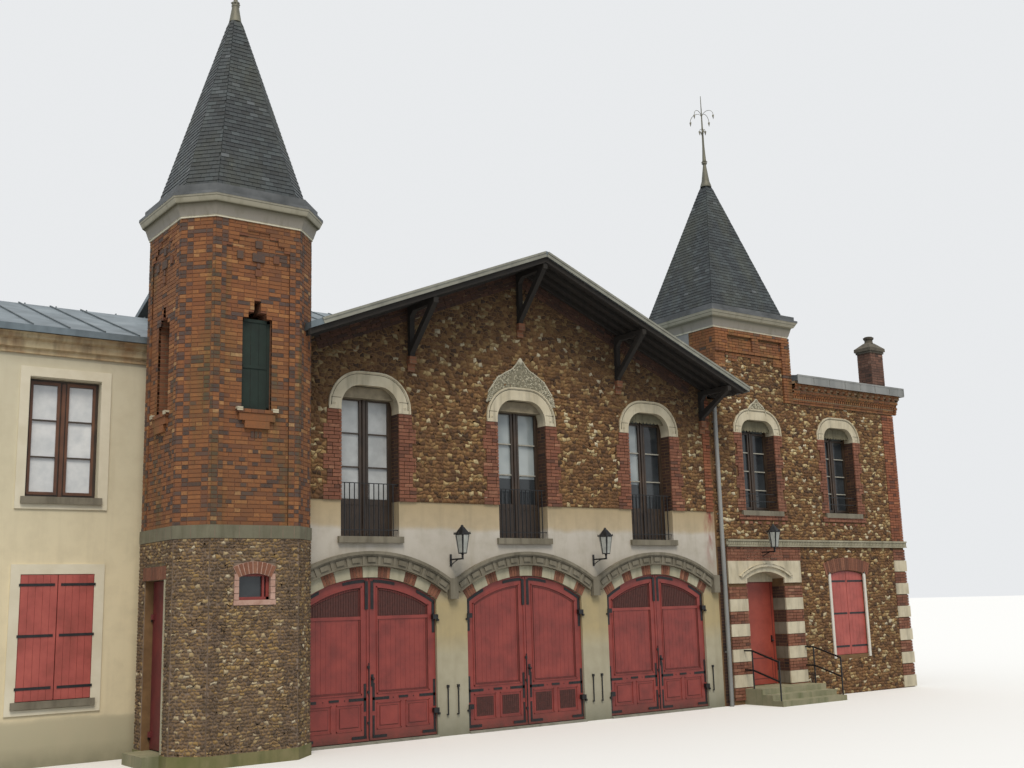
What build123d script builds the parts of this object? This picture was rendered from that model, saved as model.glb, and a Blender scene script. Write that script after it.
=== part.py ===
from build123d import *
from math import atan, cos, degrees, pi, sqrt
import os

# A small chateau coach house: gabled block, cut-corner stair tower, square tower and two wings.
# X runs along the front from left to right, Y into the building, Z up; millimetres.
# The origin is on the ground, under the front edge of the middle coach door's threshold.

os.makedirs("parts", exist_ok=True)

# Walls and storeys
wall = 450
tower_wall = 380
floor_thick = 220
upper_floor_z = 3660
render_line_z = 4460
glass_thick = 12
frame_wide = 60
frame_deep = 70

# Coach doors
door_pitch = 3656
door_width = 2940
door_spring = 2580
door_rise = 440
door_recess = 50
leaf_thick = 60
jamb_gap = 10
meeting_gap = 12
leaf_top_gap = 12
threshold_high = 40
threshold_proud = 60
leaf_lift = 15
pin_proud = 24
pin_radius = 9
pin_gap = 0.5
knuckle_wall = 8
knuckle_high = 90
strap_long = 90
pin_arm = 40
coach_knuckles = (500, 2250)
side_knuckles = (450, 2400)
entrance_knuckles = (650, 2550)
ring_deep = 215
hood_deep = 270
hood_proud = 60
lip_deep = 60
lip_proud = 110
corbel_wide = 190
corbel_high = 400

# Central block
block_right = 5620
ridge_z = 9700
roof_slope = 0.40
eave_over = 330
roof_half = block_right + eave_over
roof_thick = 120
front_verge = 1070
rear_verge = 420
block_depth = 2 * roof_half - rear_verge
bracket_pitch = 2730
bracket_feet = (7340, 8340, 7340, 6600)
rafter_high = 110
rafter_wide = 80
rafter_pitch = 290
verge_stop = 260

# Upper windows of the block
window_pitch = 3640
window_half = 630
window_sill_z = 3780
window_top_z = 6680
window_radius = 430
head_band = 270
head_foot_z = 6180
head_proud = 30
head_deep = 250
window_recess = 270
panel_top_z = 4450
sill_thick = 120
sill_proud = 70
sill_side = 70
rail_top_z = 4800
rail_bar = 16

# Stair tower, a square with cut corners
tower_left = -7650
tower_size = 2480
tower_front = -980
tower_cut = 445
band_z = 3660
band_high = 220
band_proud = 30
tower_top_z = 9200
bead_high = 35
bead_proud = 25
cove_high = 205
cove_foot = 35
cove_top = 100
ovolo_high = 125
ovolo_foot = 140
ovolo_proud = 195
cornice_high = bead_high + cove_high + ovolo_high
gutter_lip_high = 50
gutter_lip_proud = 200
gutter_high = 210
gutter_proud = 105
spire_apex_z = 13600
slit_half = 275
slit_sill_z = 5860
slit_top_z = 7480
slit_step = 105
base_window_half = 285
base_window_z = 2640
base_window_high = 430
side_door_half = 490
side_door_z = 210
side_door_top_z = 3010
side_door_recess = 140
side_pin_in = 22
side_leaf_thick = 45
side_free_gap = 16
plinth_high = 200
plinth_proud = 40
shaft_panel_half = 600
shaft_panel_top_z = 8730
shaft_panel_steps = (485, 370, 210)
shaft_panel_deep = 25

# Left wing
wing_left = -10300
wing_front = tower_front + tower_size
wing_depth = 7100
wing_eave_z = 7450
wing_slope = 0.35
wing_eave_out = 250
wing_window_x = -8925
wing_window_half = 615
wing_window_z = 4490
wing_window_high = 2080
wing_window_recess = 150
wing_shutter_z = 1070
wing_shutter_high = 2100

# Right wing and its square tower
right_end = 12850
right_depth = 6500
right_eave_z = 7870
right_slope = 0.14
right_eave_out = 260
link_top_z = 7180
attic_z = 7120
right_roof_thick = 140
entrance_x = 7250
entrance_half = 670
entrance_spring = 2890
entrance_rise = 160
entrance_floor_z = 360
entrance_recess = 380
entrance_leaf_thick = 50
right_window_xs = (7310, 10420)
right_window_half = 590
right_window_z = 4520
right_window_top_z = 6770
right_window_radius = 330
right_head_foot_z = 6420
right_shutter_x = 10345
right_shutter_half = 665
right_shutter_z = 950
right_shutter_top_z = 3060
right_shutter_rise = 90
string_z = 3650
string_high = 170
string_proud = 60
square_gap = 20
square_left = roof_half + square_gap
square_size = 2700
square_depth = 2450
square_top_z = 9010
square_cornice_high = 390
square_ovolo_high = 125
square_ovolo_proud = 215
square_gutter_high = 160
square_gutter_proud = 160
square_lip_proud = 220
square_apex_z = 13250
spire_top_half = 100

# Finials, as heights and radii up their profiles
tower_finial = ((0, 118), (40, 112), (310, 68), (335, 78), (365, 70), (395, 76), (425, 46), (700, 6))
square_finial = (
    (0, 150), (40, 145), (160, 105), (600, 45), (640, 45), (660, 70), (690, 70), (710, 40), (740, 52),
    (1140, 30), (2600, 8))
chimney_wide = 540
chimney_deep = 430
chimney_top_z = 9200


def block(x0, x1, y0, y1, z0, z1, mode=Mode.ADD):
    """A plain block between two corners."""
    with Locations(((x0 + x1) / 2, (y0 + y1) / 2, (z0 + z1) / 2)):
        Box(x1 - x0, y1 - y0, z1 - z0, mode=mode)


def outline(points, mode=Mode.ADD):
    """A face inside straight runs."""
    with BuildLine() as edge:
        Polyline(*points, close=True)
    make_face(edge.edges(), mode=mode)


def arched(xc, half, bottom, spring, rise, mode=Mode.ADD):
    """A doorway outline: straight jambs under one flat arc."""
    with BuildLine() as edge:
        Polyline((xc - half, spring), (xc - half, bottom), (xc + half, bottom), (xc + half, spring))
        ThreePointArc((xc + half, spring), (xc, spring + rise), (xc - half, spring))
    make_face(edge.edges(), mode=mode)


def basket(xc, half, bottom, top, radius, mode=Mode.ADD):
    """A window outline whose flat head ends in two round corners."""
    shift = radius * (1 - sqrt(0.5))
    with BuildLine() as edge:
        Polyline((xc - half, top - radius), (xc - half, bottom), (xc + half, bottom), (xc + half, top - radius))
        ThreePointArc((xc + half, top - radius), (xc + half - shift, top - shift), (xc + half - radius, top))
        Line((xc + half - radius, top), (xc - half + radius, top))
        ThreePointArc((xc - half + radius, top), (xc - half + shift, top - shift), (xc - half, top - radius))
    make_face(edge.edges(), mode=mode)


def plain(xc, half, bottom, top, mode=Mode.ADD):
    """A square-headed window outline."""
    with Locations((xc, (bottom + top) / 2)):
        Rectangle(2 * half, top - bottom, mode=mode)


def cut_square(side, cut, mode=Mode.ADD):
    """A square with cut corners, about the stair tower's centre."""
    with BuildSketch(mode=Mode.PRIVATE) as plan:
        Rectangle(side, side)
        chamfer(plan.vertices(), length=cut)
    with Locations((tower_x, tower_y)):
        add(plan.sketch, mode=mode)


def tower_plan(grow, mode=Mode.ADD):
    """The stair tower's plan, moved outward by grow on every side."""
    cut_square(tower_size + 2 * grow, tower_cut + (2 - sqrt(2)) * grow, mode=mode)


def roof_mass(drop, low_z, front, back):
    """The space under the crossed gables, with its surface lowered by drop."""
    top = ridge_z - drop
    eave = top - roof_slope * roof_half
    gable = [(-roof_half, low_z), (-roof_half, eave), (0, top), (roof_half, eave), (roof_half, low_z)]
    with BuildPart(mode=Mode.PRIVATE) as mass:
        with BuildSketch(Plane.XZ.offset(-front)) as long_way:
            outline(gable)
        extrude(long_way.sketch, amount=-(back - front))
        with BuildSketch(Plane.YZ.offset(-roof_half)) as cross_way:
            outline([(y + roof_half, z) for y, z in gable])
        extrude(cross_way.sketch, amount=2 * roof_half)
    return mass.part


tower_x = tower_left + tower_size / 2
tower_y = tower_front + tower_size / 2
tower_right = tower_left + tower_size
tower_back = tower_front + tower_size
block_left = tower_right - wall
wing_back = wing_front + wing_depth
door_centres = (-door_pitch, 0, door_pitch)
window_centres = (-window_pitch, 0, window_pitch)
door_half = door_width / 2
arc_radius = (door_half**2 + door_rise**2) / (2 * door_rise)
arc_centre_z = door_spring + door_rise - arc_radius


def cut_tower(low, high, grow=0):
    """Takes the stair tower's outer form out of a wall or roof that meets it."""
    with BuildSketch(Plane.XY.offset(low)) as plan:
        tower_plan(grow)
    extrude(plan.sketch, amount=high - low, mode=Mode.SUBTRACT)


def ring_band(xc, inner, outer, reach):
    """A band over an arch, between two arcs about the arch's centre, cut square at its feet."""
    foot_in = (reach * inner, sqrt(1 - reach**2) * inner)
    foot_out = (reach * outer, sqrt(1 - reach**2) * outer)
    z = arc_centre_z
    with BuildLine() as edge:
        ThreePointArc((xc - foot_in[0], z + foot_in[1]), (xc, z + inner), (xc + foot_in[0], z + foot_in[1]))
        Line((xc + foot_in[0], z + foot_in[1]), (xc + foot_out[0], z + foot_out[1]))
        ThreePointArc((xc + foot_out[0], z + foot_out[1]), (xc, z + outer), (xc - foot_out[0], z + foot_out[1]))
        Line((xc - foot_out[0], z + foot_out[1]), (xc - foot_in[0], z + foot_in[1]))
    make_face(edge.edges())


def between(pin, along, back, near, far, low, high):
    """A block near a pin, between two corners told along the leaf and back towards its face."""
    xs = sorted(pin[0] + a * along[0] + b * back[0] for a, b in (near, far))
    ys = sorted(pin[1] + a * along[1] + b * back[1] for a, b in (near, far))
    block(xs[0], xs[1], ys[0], ys[1], low, high)


def knuckles(pin, along, back, deep, levels):
    """Barrels round a leaf's pin, each with a strap that reaches back to the leaf's face."""
    barrel = pin_radius + pin_gap + knuckle_wall
    for z in levels:
        low = z - knuckle_high / 2
        high = z + knuckle_high / 2
        with Locations((pin[0], pin[1], z)):
            Cylinder(barrel, knuckle_high)
        between(pin, along, back, (jamb_gap, -barrel / 2), (jamb_gap + strap_long, deep), low, high)
        between(pin, along, back, (0, -barrel / 2), (jamb_gap, barrel / 2), low, high)
        with Locations((pin[0], pin[1], z)):
            Cylinder(pin_radius + pin_gap, knuckle_high, mode=Mode.SUBTRACT)


def pins(pin, along, back, levels, arm=pin_arm, deep=pin_proud):
    """A leaf's pins, each held by an arm under its knuckle that reaches back to the jamb."""
    for z in levels:
        low = z - knuckle_high / 2 - pin_gap
        with Locations((pin[0], pin[1], low - pin_arm)):
            Cylinder(pin_radius, knuckle_high + pin_arm, align=(Align.CENTER, Align.CENTER, Align.MIN))
        between(pin, along, back, (pin_radius, -pin_radius), (-arm, deep), low - pin_arm, low)


# Thresholds and piers
with BuildPart() as threshold_stones:
    for x in door_centres:
        block(x - door_half, x + door_half, -threshold_proud, wall, 0, threshold_high)
threshold_stones.part.label = "threshold_stones"
export_step(threshold_stones.part, "parts/threshold_stones.step")

with BuildPart() as coach_piers:
    edges = [tower_right]
    for x in door_centres:
        edges += [x - door_half, x + door_half]
    edges.append(block_right)
    for x0, x1 in zip(edges[::2], edges[1::2]):
        block(x0, x1, 0, wall, 0, door_spring)
coach_piers.part.label = "coach_piers"
export_step(coach_piers.part, "parts/coach_piers.step")

# Wall over the coach doors, with the arches cut, and the arch rings that fill the cuts
ring_reach = door_half / arc_radius
ring_foot_z = arc_centre_z + sqrt(1 - ring_reach**2) * (arc_radius + ring_deep)
with BuildPart() as arch_wall:
    with BuildSketch(Plane.XZ):
        outline([(tower_right, door_spring), (block_right, door_spring), (block_right, render_line_z),
                 (tower_right, render_line_z)])
    extrude(amount=-wall)
    with BuildSketch(Plane.XZ):
        for x in door_centres:
            arched(x, door_half, 0, door_spring, door_rise)
            ring_band(x, arc_radius, arc_radius + ring_deep, ring_reach)
        for x in window_centres:
            plain(x, window_half, upper_floor_z, render_line_z)
    extrude(amount=-wall, mode=Mode.SUBTRACT)
    block(tower_right, door_centres[0] - door_half, 0, wall, door_spring, ring_foot_z, mode=Mode.SUBTRACT)
arch_wall.part.label = "arch_wall"
export_step(arch_wall.part, "parts/arch_wall.step")

with BuildPart() as arch_rings:
    with BuildSketch(Plane.XZ):
        for x in door_centres:
            ring_band(x, arc_radius, arc_radius + ring_deep, ring_reach)
    extrude(amount=-wall)
    cut_tower(0, band_z)
arch_rings.part.label = "arch_rings"
export_step(arch_rings.part, "parts/arch_rings.step")

hood_inner = arc_radius + ring_deep
hood_outer = hood_inner + hood_deep
hood_reach = door_pitch / 2 / hood_outer
with BuildPart() as hood_moulds:
    with BuildSketch(Plane.XZ):
        for x in door_centres:
            ring_band(x, hood_inner, hood_outer, hood_reach)
    extrude(amount=hood_proud)
    with BuildSketch(Plane.XZ):
        for x in door_centres:
            ring_band(x, hood_outer - lip_deep, hood_outer, hood_reach)
    extrude(amount=lip_proud)
    for x in (-door_pitch / 2, door_pitch / 2, 1.5 * door_pitch):
        block(x - corbel_wide / 2, x + corbel_wide / 2, -lip_proud, 0,
              door_spring, door_spring + corbel_high)
    cut_tower(0, band_z)
hood_moulds.part.label = "hood_moulds"
export_step(hood_moulds.part, "parts/hood_moulds.step")


# Coach door leaves, closed, each hung on pins in front of its jamb
def leaf_outline(xc, side):
    """One leaf's face: side is -1 for the left leaf and 1 for the right one."""
    outer = door_half - jamb_gap
    inner = meeting_gap / 2
    radius = arc_radius - leaf_top_gap
    low = threshold_high + leaf_lift
    high_in = arc_centre_z + sqrt(radius**2 - inner**2)
    high_out = arc_centre_z + sqrt(radius**2 - outer**2)
    middle = (outer + inner) / 2
    high_mid = arc_centre_z + sqrt(radius**2 - middle**2)
    with BuildLine() as edge:
        Polyline((xc + side * inner, high_in), (xc + side * inner, low),
                 (xc + side * outer, low), (xc + side * outer, high_out))
        ThreePointArc((xc + side * outer, high_out), (xc + side * middle, high_mid),
                      (xc + side * inner, high_in))
    make_face(edge.edges())


stile = 150
rail_z = 880
rail_wide = 150
bottom_rail = 190
field_sink = 18


def coach_leaf(xc, side):
    """A leaf with a sunk boarded field over two sunk low panels, and its knuckles."""
    with BuildPart(mode=Mode.PRIVATE) as leaf:
        with BuildSketch(Plane.XZ.offset(-door_recess)) as face:
            leaf_outline(xc, side)
        extrude(amount=-leaf_thick)
        outer = door_half - jamb_gap
        inner = meeting_gap / 2
        lows = sorted((xc + side * (inner + stile), xc + side * (outer - stile)))
        middle = sum(lows) / 2
        field_front = door_recess
        with BuildSketch(Plane.XZ.offset(-field_front), mode=Mode.PRIVATE) as field:
            offset(face.sketch, amount=-stile)
            with Locations((xc + side * middle, 0)):
                Rectangle(4 * door_width, 2 * rail_z, mode=Mode.SUBTRACT)
        extrude(field.sketch, amount=-field_sink, mode=Mode.SUBTRACT)
        panel_low = threshold_high + leaf_lift + bottom_rail
        for x0, x1 in ((lows[0], middle - stile / 3), (middle + stile / 3, lows[1])):
            block(x0, x1, field_front, field_front + field_sink, panel_low, rail_z - rail_wide,
                  mode=Mode.SUBTRACT)
        knuckles((xc + side * door_half, -pin_proud), (-side, 0), (0, 1), door_recess + pin_proud, coach_knuckles)
    return leaf.part


for number, x in enumerate(door_centres, start=1):
    for side, word in ((-1, "left"), (1, "right")):
        with BuildPart() as coach_door:
            add(coach_leaf(x, side))
        coach_door.part.label = f"coach_door_{number}_{word}"
        export_step(coach_door.part, f"parts/coach_door_{number}_{word}.step")

# Gable wall over the arches, with three windows and their stone heads
with BuildPart() as gable_wall:
    with BuildSketch(Plane.XZ):
        outline([(tower_right, render_line_z), (block_right, render_line_z), (block_right, ridge_z),
                 (tower_right, ridge_z)])
        for x in window_centres:
            basket(x, window_half, upper_floor_z, window_top_z, window_radius, mode=Mode.SUBTRACT)
    extrude(amount=-wall)
    with BuildSketch(Plane.XZ):
        for x in window_centres:
            basket(x, window_half + head_band, head_foot_z, window_top_z + head_band,
                   window_radius + head_band)
    extrude(amount=-head_deep, mode=Mode.SUBTRACT)
    add(roof_mass(roof_thick, 0, -front_verge, block_depth), mode=Mode.INTERSECT)
gable_wall.part.label = "gable_wall"
export_step(gable_wall.part, "parts/gable_wall.step")

with BuildPart() as window_heads:
    with BuildSketch(Plane.XZ.offset(head_proud)):
        for x in window_centres:
            basket(x, window_half + head_band, head_foot_z, window_top_z + head_band,
                   window_radius + head_band)
            basket(x, window_half, upper_floor_z, window_top_z, window_radius, mode=Mode.SUBTRACT)
        for x in right_window_xs:
            basket(x, right_window_half + head_band, right_head_foot_z,
                   right_window_top_z + head_band, right_window_radius + head_band)
            basket(x, right_window_half, right_window_z, right_window_top_z, right_window_radius,
                   mode=Mode.SUBTRACT)
    extrude(amount=-head_deep - head_proud)
window_heads.part.label = "window_heads"
export_step(window_heads.part, "parts/window_heads.step")

crest_foot_z = 6600
crest_high = 950
crest_half = window_half + head_band
small_crest_high = 380
small_crest_half = 330
crest_shape = ((1, 0), (0.93, 0.26), (0.69, 0.56), (0.44, 0.70), (0.25, 0.79), (0.13, 0.90), (0.05, 1.0))


def crest(xc, foot, half, high):
    """A carved crest's outline: its shape's widths and heights, mirrored about the window's middle."""
    right = [(xc + half * w, foot + high * h) for w, h in crest_shape]
    left = [(xc - half * w, foot + high * h) for w, h in reversed(crest_shape)]
    outline(right + left)


with BuildPart() as window_crests:
    with BuildSketch(Plane.XZ):
        crest(0, crest_foot_z, crest_half, crest_high)
        crest(right_window_xs[0], right_window_top_z + head_band - small_crest_high / 3, small_crest_half,
              small_crest_high)
        basket(0, window_half + head_band, 0, window_top_z + head_band, window_radius + head_band,
               mode=Mode.SUBTRACT)
        basket(right_window_xs[0], right_window_half + head_band, 0, right_window_top_z + head_band,
               right_window_radius + head_band, mode=Mode.SUBTRACT)
    extrude(amount=head_proud)
window_crests.part.label = "window_crests"
export_step(window_crests.part, "parts/window_crests.step")

with BuildPart() as window_sills:
    for x in window_centres:
        block(x - window_half, x + window_half, -sill_proud, wall - 1, upper_floor_z, window_sill_z)
        block(x - window_half - sill_side, x + window_half + sill_side, -sill_proud, 0,
              upper_floor_z, window_sill_z)
    for x in right_window_xs:
        block(x - right_window_half, x + right_window_half, -sill_proud, wall - 1,
              right_window_z - sill_thick, right_window_z)
        block(x - right_window_half - 2 * sill_side, x + right_window_half + 2 * sill_side, -sill_proud, 0,
              right_window_z - sill_thick, right_window_z)
    y = wing_front
    for z in (wing_window_z, wing_shutter_z):
        block(wing_window_x - wing_window_half, wing_window_x + wing_window_half, y - sill_proud, y + wall - 1,
              z - sill_thick, z)
        block(wing_window_x - wing_window_half - sill_side, wing_window_x + wing_window_half + sill_side,
              y - sill_proud, y, z - sill_thick, z)
window_sills.part.label = "window_sills"
export_step(window_sills.part, "parts/window_sills.step")


def plain_frame(xc, half, bottom, top):
    """A square-headed frame with a middle post."""
    plain(xc, half, bottom, top)
    plain(xc, half - frame_wide, bottom + frame_wide, top - frame_wide, mode=Mode.SUBTRACT)
    plain(xc, frame_wide, bottom, top)


def plain_panes(xc, half, bottom, top):
    """The panes of such a frame."""
    plain(xc, half - frame_wide, bottom + frame_wide, top - frame_wide)
    plain(xc, frame_wide, bottom, top, mode=Mode.SUBTRACT)


rear_recess = 200
right_rear_y = right_depth - rear_recess
block_rear_y = block_depth - rear_recess
wing_rear_y = wing_back - rear_recess

# Window frames and glass
with BuildPart() as window_frames:
    with BuildSketch(Plane.XZ.offset(-window_recess)):
        for x in window_centres:
            basket(x, window_half, window_sill_z, window_top_z, window_radius)
            basket(x, window_half - frame_wide, panel_top_z, window_top_z - frame_wide,
                   window_radius - frame_wide, mode=Mode.SUBTRACT)
            plain(x, frame_wide, window_sill_z, window_top_z - frame_wide)
        for x in right_window_xs:
            basket(x, right_window_half, right_window_z, right_window_top_z, right_window_radius)
            basket(x, right_window_half - frame_wide, right_window_z + frame_wide,
                   right_window_top_z - frame_wide, right_window_radius - frame_wide, mode=Mode.SUBTRACT)
            plain(x, frame_wide, right_window_z, right_window_top_z - frame_wide)
    extrude(amount=-frame_deep)
    for y in (wing_front + wing_window_recess + frame_deep, wing_rear_y):
        with BuildSketch(Plane.XZ.offset(-y)):
            plain_frame(wing_window_x, wing_window_half, wing_window_z, wing_window_z + wing_window_high)
        extrude(amount=frame_deep)
    with BuildSketch(Plane.XZ.offset(-block_rear_y)):
        for x in window_centres:
            plain_frame(x, window_half, window_sill_z, window_top_z)
    extrude(amount=frame_deep)
    with BuildSketch(Plane.XZ.offset(-right_rear_y)):
        for x in right_window_xs:
            plain_frame(x, right_window_half, right_window_z, right_window_top_z)
    extrude(amount=frame_deep)
    with BuildSketch(Plane.XZ.offset(-tower_front - tower_wall / 3)):
        top = base_window_z + base_window_high
        plain(tower_x, base_window_half, base_window_z, top)
        plain(tower_x, base_window_half - frame_wide, base_window_z + frame_wide, top - frame_wide,
              mode=Mode.SUBTRACT)
    extrude(amount=-frame_deep)
window_frames.part.label = "window_frames"
export_step(window_frames.part, "parts/window_frames.step")

glass_back = (frame_deep - glass_thick) / 2
with BuildPart() as window_glass:
    with BuildSketch(Plane.XZ.offset(-window_recess - glass_back)):
        for x in window_centres:
            basket(x, window_half - frame_wide, panel_top_z, window_top_z - frame_wide,
                   window_radius - frame_wide)
            plain(x, frame_wide, panel_top_z, window_top_z, mode=Mode.SUBTRACT)
        for x in right_window_xs:
            basket(x, right_window_half - frame_wide, right_window_z + frame_wide,
                   right_window_top_z - frame_wide, right_window_radius - frame_wide)
            plain(x, frame_wide, right_window_z, right_window_top_z, mode=Mode.SUBTRACT)
    extrude(amount=-glass_thick)
    for y in (wing_front + wing_window_recess + frame_deep, wing_rear_y):
        with BuildSketch(Plane.XZ.offset(glass_back - y)):
            plain_panes(wing_window_x, wing_window_half, wing_window_z, wing_window_z + wing_window_high)
        extrude(amount=glass_thick)
    with BuildSketch(Plane.XZ.offset(glass_back - block_rear_y)):
        for x in window_centres:
            plain_panes(x, window_half, window_sill_z, window_top_z)
    extrude(amount=glass_thick)
    with BuildSketch(Plane.XZ.offset(glass_back - right_rear_y)):
        for x in right_window_xs:
            plain_panes(x, right_window_half, right_window_z, right_window_top_z)
    extrude(amount=glass_thick)
    with BuildSketch(Plane.XZ.offset(-tower_front - tower_wall / 3 - glass_back)):
        top = base_window_z + base_window_high
        plain(tower_x, base_window_half - frame_wide, base_window_z + frame_wide, top - frame_wide)
    extrude(amount=-glass_thick)
window_glass.part.label = "window_glass"
export_step(window_glass.part, "parts/window_glass.step")

# Side walls and rear wall of the central block
with BuildPart() as central_side_walls:
    for x0 in (block_left, block_right - wall):
        block(x0, x0 + wall, wall, block_depth - wall, 0, ridge_z)
    add(roof_mass(roof_thick, 0, -front_verge, block_depth), mode=Mode.INTERSECT)
    cut_tower(0, ridge_z)
    cut_tower(band_z, band_z + band_high, band_proud)
central_side_walls.part.label = "central_side_walls"
export_step(central_side_walls.part, "parts/central_side_walls.step")

with BuildPart() as central_rear_wall:
    with BuildSketch(Plane.XZ.offset(wall - block_depth)):
        outline([(block_left, 0), (block_right, 0), (block_right, ridge_z), (block_left, ridge_z)])
        for x in window_centres:
            plain(x, window_half, window_sill_z, window_top_z, mode=Mode.SUBTRACT)
    extrude(amount=-wall)
    add(roof_mass(roof_thick, 0, -front_verge, block_depth + rear_verge), mode=Mode.INTERSECT)
central_rear_wall.part.label = "central_rear_wall"
export_step(central_rear_wall.part, "parts/central_rear_wall.step")

# Floors that the window rows show
with BuildPart() as upper_floors:
    block(block_left + wall, block_right - wall, wall, block_depth - wall,
          upper_floor_z - floor_thick, upper_floor_z)
    cut_tower(0, ridge_z)
    block(block_right, right_end - wall, wall, right_depth - wall,
          right_window_z - 2 * sill_thick - floor_thick, right_window_z - 2 * sill_thick)
    block(block_right, right_end - wall, wall, right_depth - wall,
          entrance_floor_z - floor_thick, entrance_floor_z)
    block(block_right, right_end - wall, wall, right_depth - wall, attic_z - floor_thick, attic_z)
    block(wing_left + wall, block_left, wing_front + wall, wing_front + wing_depth - wall,
          wing_window_z - 5 * sill_thick - floor_thick, wing_window_z - 5 * sill_thick)
upper_floors.part.label = "upper_floors"
export_step(upper_floors.part, "parts/upper_floors.step")

# Main roof: crossed gables as one bent slab
with BuildPart() as central_roof:
    add(roof_mass(0, upper_floor_z, -front_verge, block_depth + rear_verge))
    add(roof_mass(roof_thick, upper_floor_z, -front_verge, block_depth + rear_verge), mode=Mode.SUBTRACT)
    cut_tower(0, ridge_z)
    block(-roof_half, tower_right - verge_stop, -front_verge, tower_back, 0, ridge_z, mode=Mode.SUBTRACT)
central_roof.part.label = "central_roof"
export_step(central_roof.part, "parts/central_roof.step")

# Rafters under the front overhang, each a bent piece parallel to the verge
with BuildPart() as roof_rafters:
    left_x = tower_right - verge_stop
    right_x = roof_half - 2 * rafter_wide
    under = [(x, ridge_z - roof_thick - roof_slope * abs(x)) for x in (left_x, 0, right_x)]
    for i in range(4):
        front = -front_verge + rafter_wide / 2 + i * rafter_pitch
        with BuildSketch(Plane.XZ.offset(-front)) as bent:
            outline(under + [(x, z - rafter_high) for x, z in reversed(under)])
        extrude(bent.sketch, amount=-rafter_wide)
    cut_tower(0, ridge_z)
roof_rafters.part.label = "roof_rafters"
export_step(roof_rafters.part, "parts/roof_rafters.step")

# Timber brackets under the rafters, on small brick corbels
bracket_end_in = 120
bracket_xs = (-bracket_pitch, 0, bracket_pitch, 2 * bracket_pitch - bracket_end_in)
bracket_wide = 110
bracket_end = -front_verge + 60
brace_foot = 60
brace_deep = 160
brace_end = 30
brick_corbel_high = 300
brick_corbel_proud = 130
brick_corbel_side = 25
with BuildPart() as roof_brackets:
    for x, foot in zip(bracket_xs, bracket_feet):
        under = ridge_z - roof_thick - roof_slope * (abs(x) + bracket_wide / 2) - rafter_high
        low = under - bracket_wide
        tip = bracket_end + brace_end
        with BuildSketch(Plane.YZ.offset(x - bracket_wide / 2)):
            outline([(0, foot), (0, under), (bracket_end, under), (bracket_end, low), (-2 * bracket_wide, low),
                     (-bracket_wide, low - bracket_wide), (-bracket_wide, foot)])
            outline([(-bracket_wide, foot + brace_foot), (-bracket_wide, foot + brace_foot + brace_deep),
                     (tip + brace_deep, low), (tip, low)])
        extrude(amount=bracket_wide)
roof_brackets.part.label = "roof_brackets"
export_step(roof_brackets.part, "parts/roof_brackets.step")

with BuildPart() as bracket_corbels:
    for x, top in zip(bracket_xs, bracket_feet):
        half = bracket_wide / 2 + brick_corbel_side
        block(x - half, x + half, -brick_corbel_proud, 0, top - brick_corbel_high / 2, top)
        block(x - half, x + half, -brick_corbel_proud / 2, 0, top - brick_corbel_high, top - brick_corbel_high / 2)
bracket_corbels.part.label = "bracket_corbels"
export_step(bracket_corbels.part, "parts/bracket_corbels.step")


# Stair tower
def tower_shell(low, high):
    """The tower's wall between two levels."""
    with BuildSketch(Plane.XY.offset(low)) as plan:
        tower_plan(0)
        tower_plan(-tower_wall, mode=Mode.SUBTRACT)
    extrude(plan.sketch, amount=high - low)


split_y = tower_front + tower_cut
inner_x = tower_left + tower_wall
side_y = tower_y
with BuildPart() as tower_base_front:
    tower_shell(0, band_z)
    block(tower_left, tower_right, split_y, tower_back, 0, band_z, mode=Mode.SUBTRACT)
    block(tower_x - base_window_half, tower_x + base_window_half, tower_front, split_y,
          base_window_z, base_window_z + base_window_high, mode=Mode.SUBTRACT)
tower_base_front.part.label = "tower_base_front"
export_step(tower_base_front.part, "parts/tower_base_front.step")

with BuildPart() as tower_plinth:
    with BuildSketch():
        tower_plan(plinth_proud)
        tower_plan(0, mode=Mode.SUBTRACT)
    extrude(amount=plinth_high)
    block(tower_left - plinth_proud, tower_left, side_y - side_door_half, side_y + side_door_half, 0, plinth_high,
          mode=Mode.SUBTRACT)
    block(block_left, tower_right + plinth_proud, 0, tower_back + plinth_proud, 0, plinth_high, mode=Mode.SUBTRACT)
    block(tower_left - plinth_proud, tower_right, wing_front, wing_front + plinth_proud, 0, plinth_high,
          mode=Mode.SUBTRACT)
tower_plinth.part.label = "tower_plinth"
export_step(tower_plinth.part, "parts/tower_plinth.step")

with BuildPart() as tower_door_jambs:
    tower_shell(0, band_z)
    block(tower_left, tower_right, tower_front, split_y, 0, band_z, mode=Mode.SUBTRACT)
    block(tower_left, tower_right, tower_back - tower_cut, tower_back, 0, band_z, mode=Mode.SUBTRACT)
    block(tower_x, tower_right, split_y, tower_back, 0, band_z, mode=Mode.SUBTRACT)
    block(tower_left, inner_x, side_y - side_door_half, side_y + side_door_half, 0, band_z, mode=Mode.SUBTRACT)
tower_door_jambs.part.label = "tower_door_jambs"
export_step(tower_door_jambs.part, "parts/tower_door_jambs.step")

with BuildPart() as tower_door_head:
    block(tower_left, inner_x, side_y - side_door_half, side_y + side_door_half, side_door_top_z, band_z)
tower_door_head.part.label = "tower_door_head"
export_step(tower_door_head.part, "parts/tower_door_head.step")

with BuildPart() as tower_base_back:
    tower_shell(0, band_z)
    block(tower_left, tower_right, tower_front, split_y, 0, band_z, mode=Mode.SUBTRACT)
    block(tower_left, tower_x, split_y, tower_back - tower_cut, 0, band_z, mode=Mode.SUBTRACT)
tower_base_back.part.label = "tower_base_back"
export_step(tower_base_back.part, "parts/tower_base_back.step")

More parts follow.
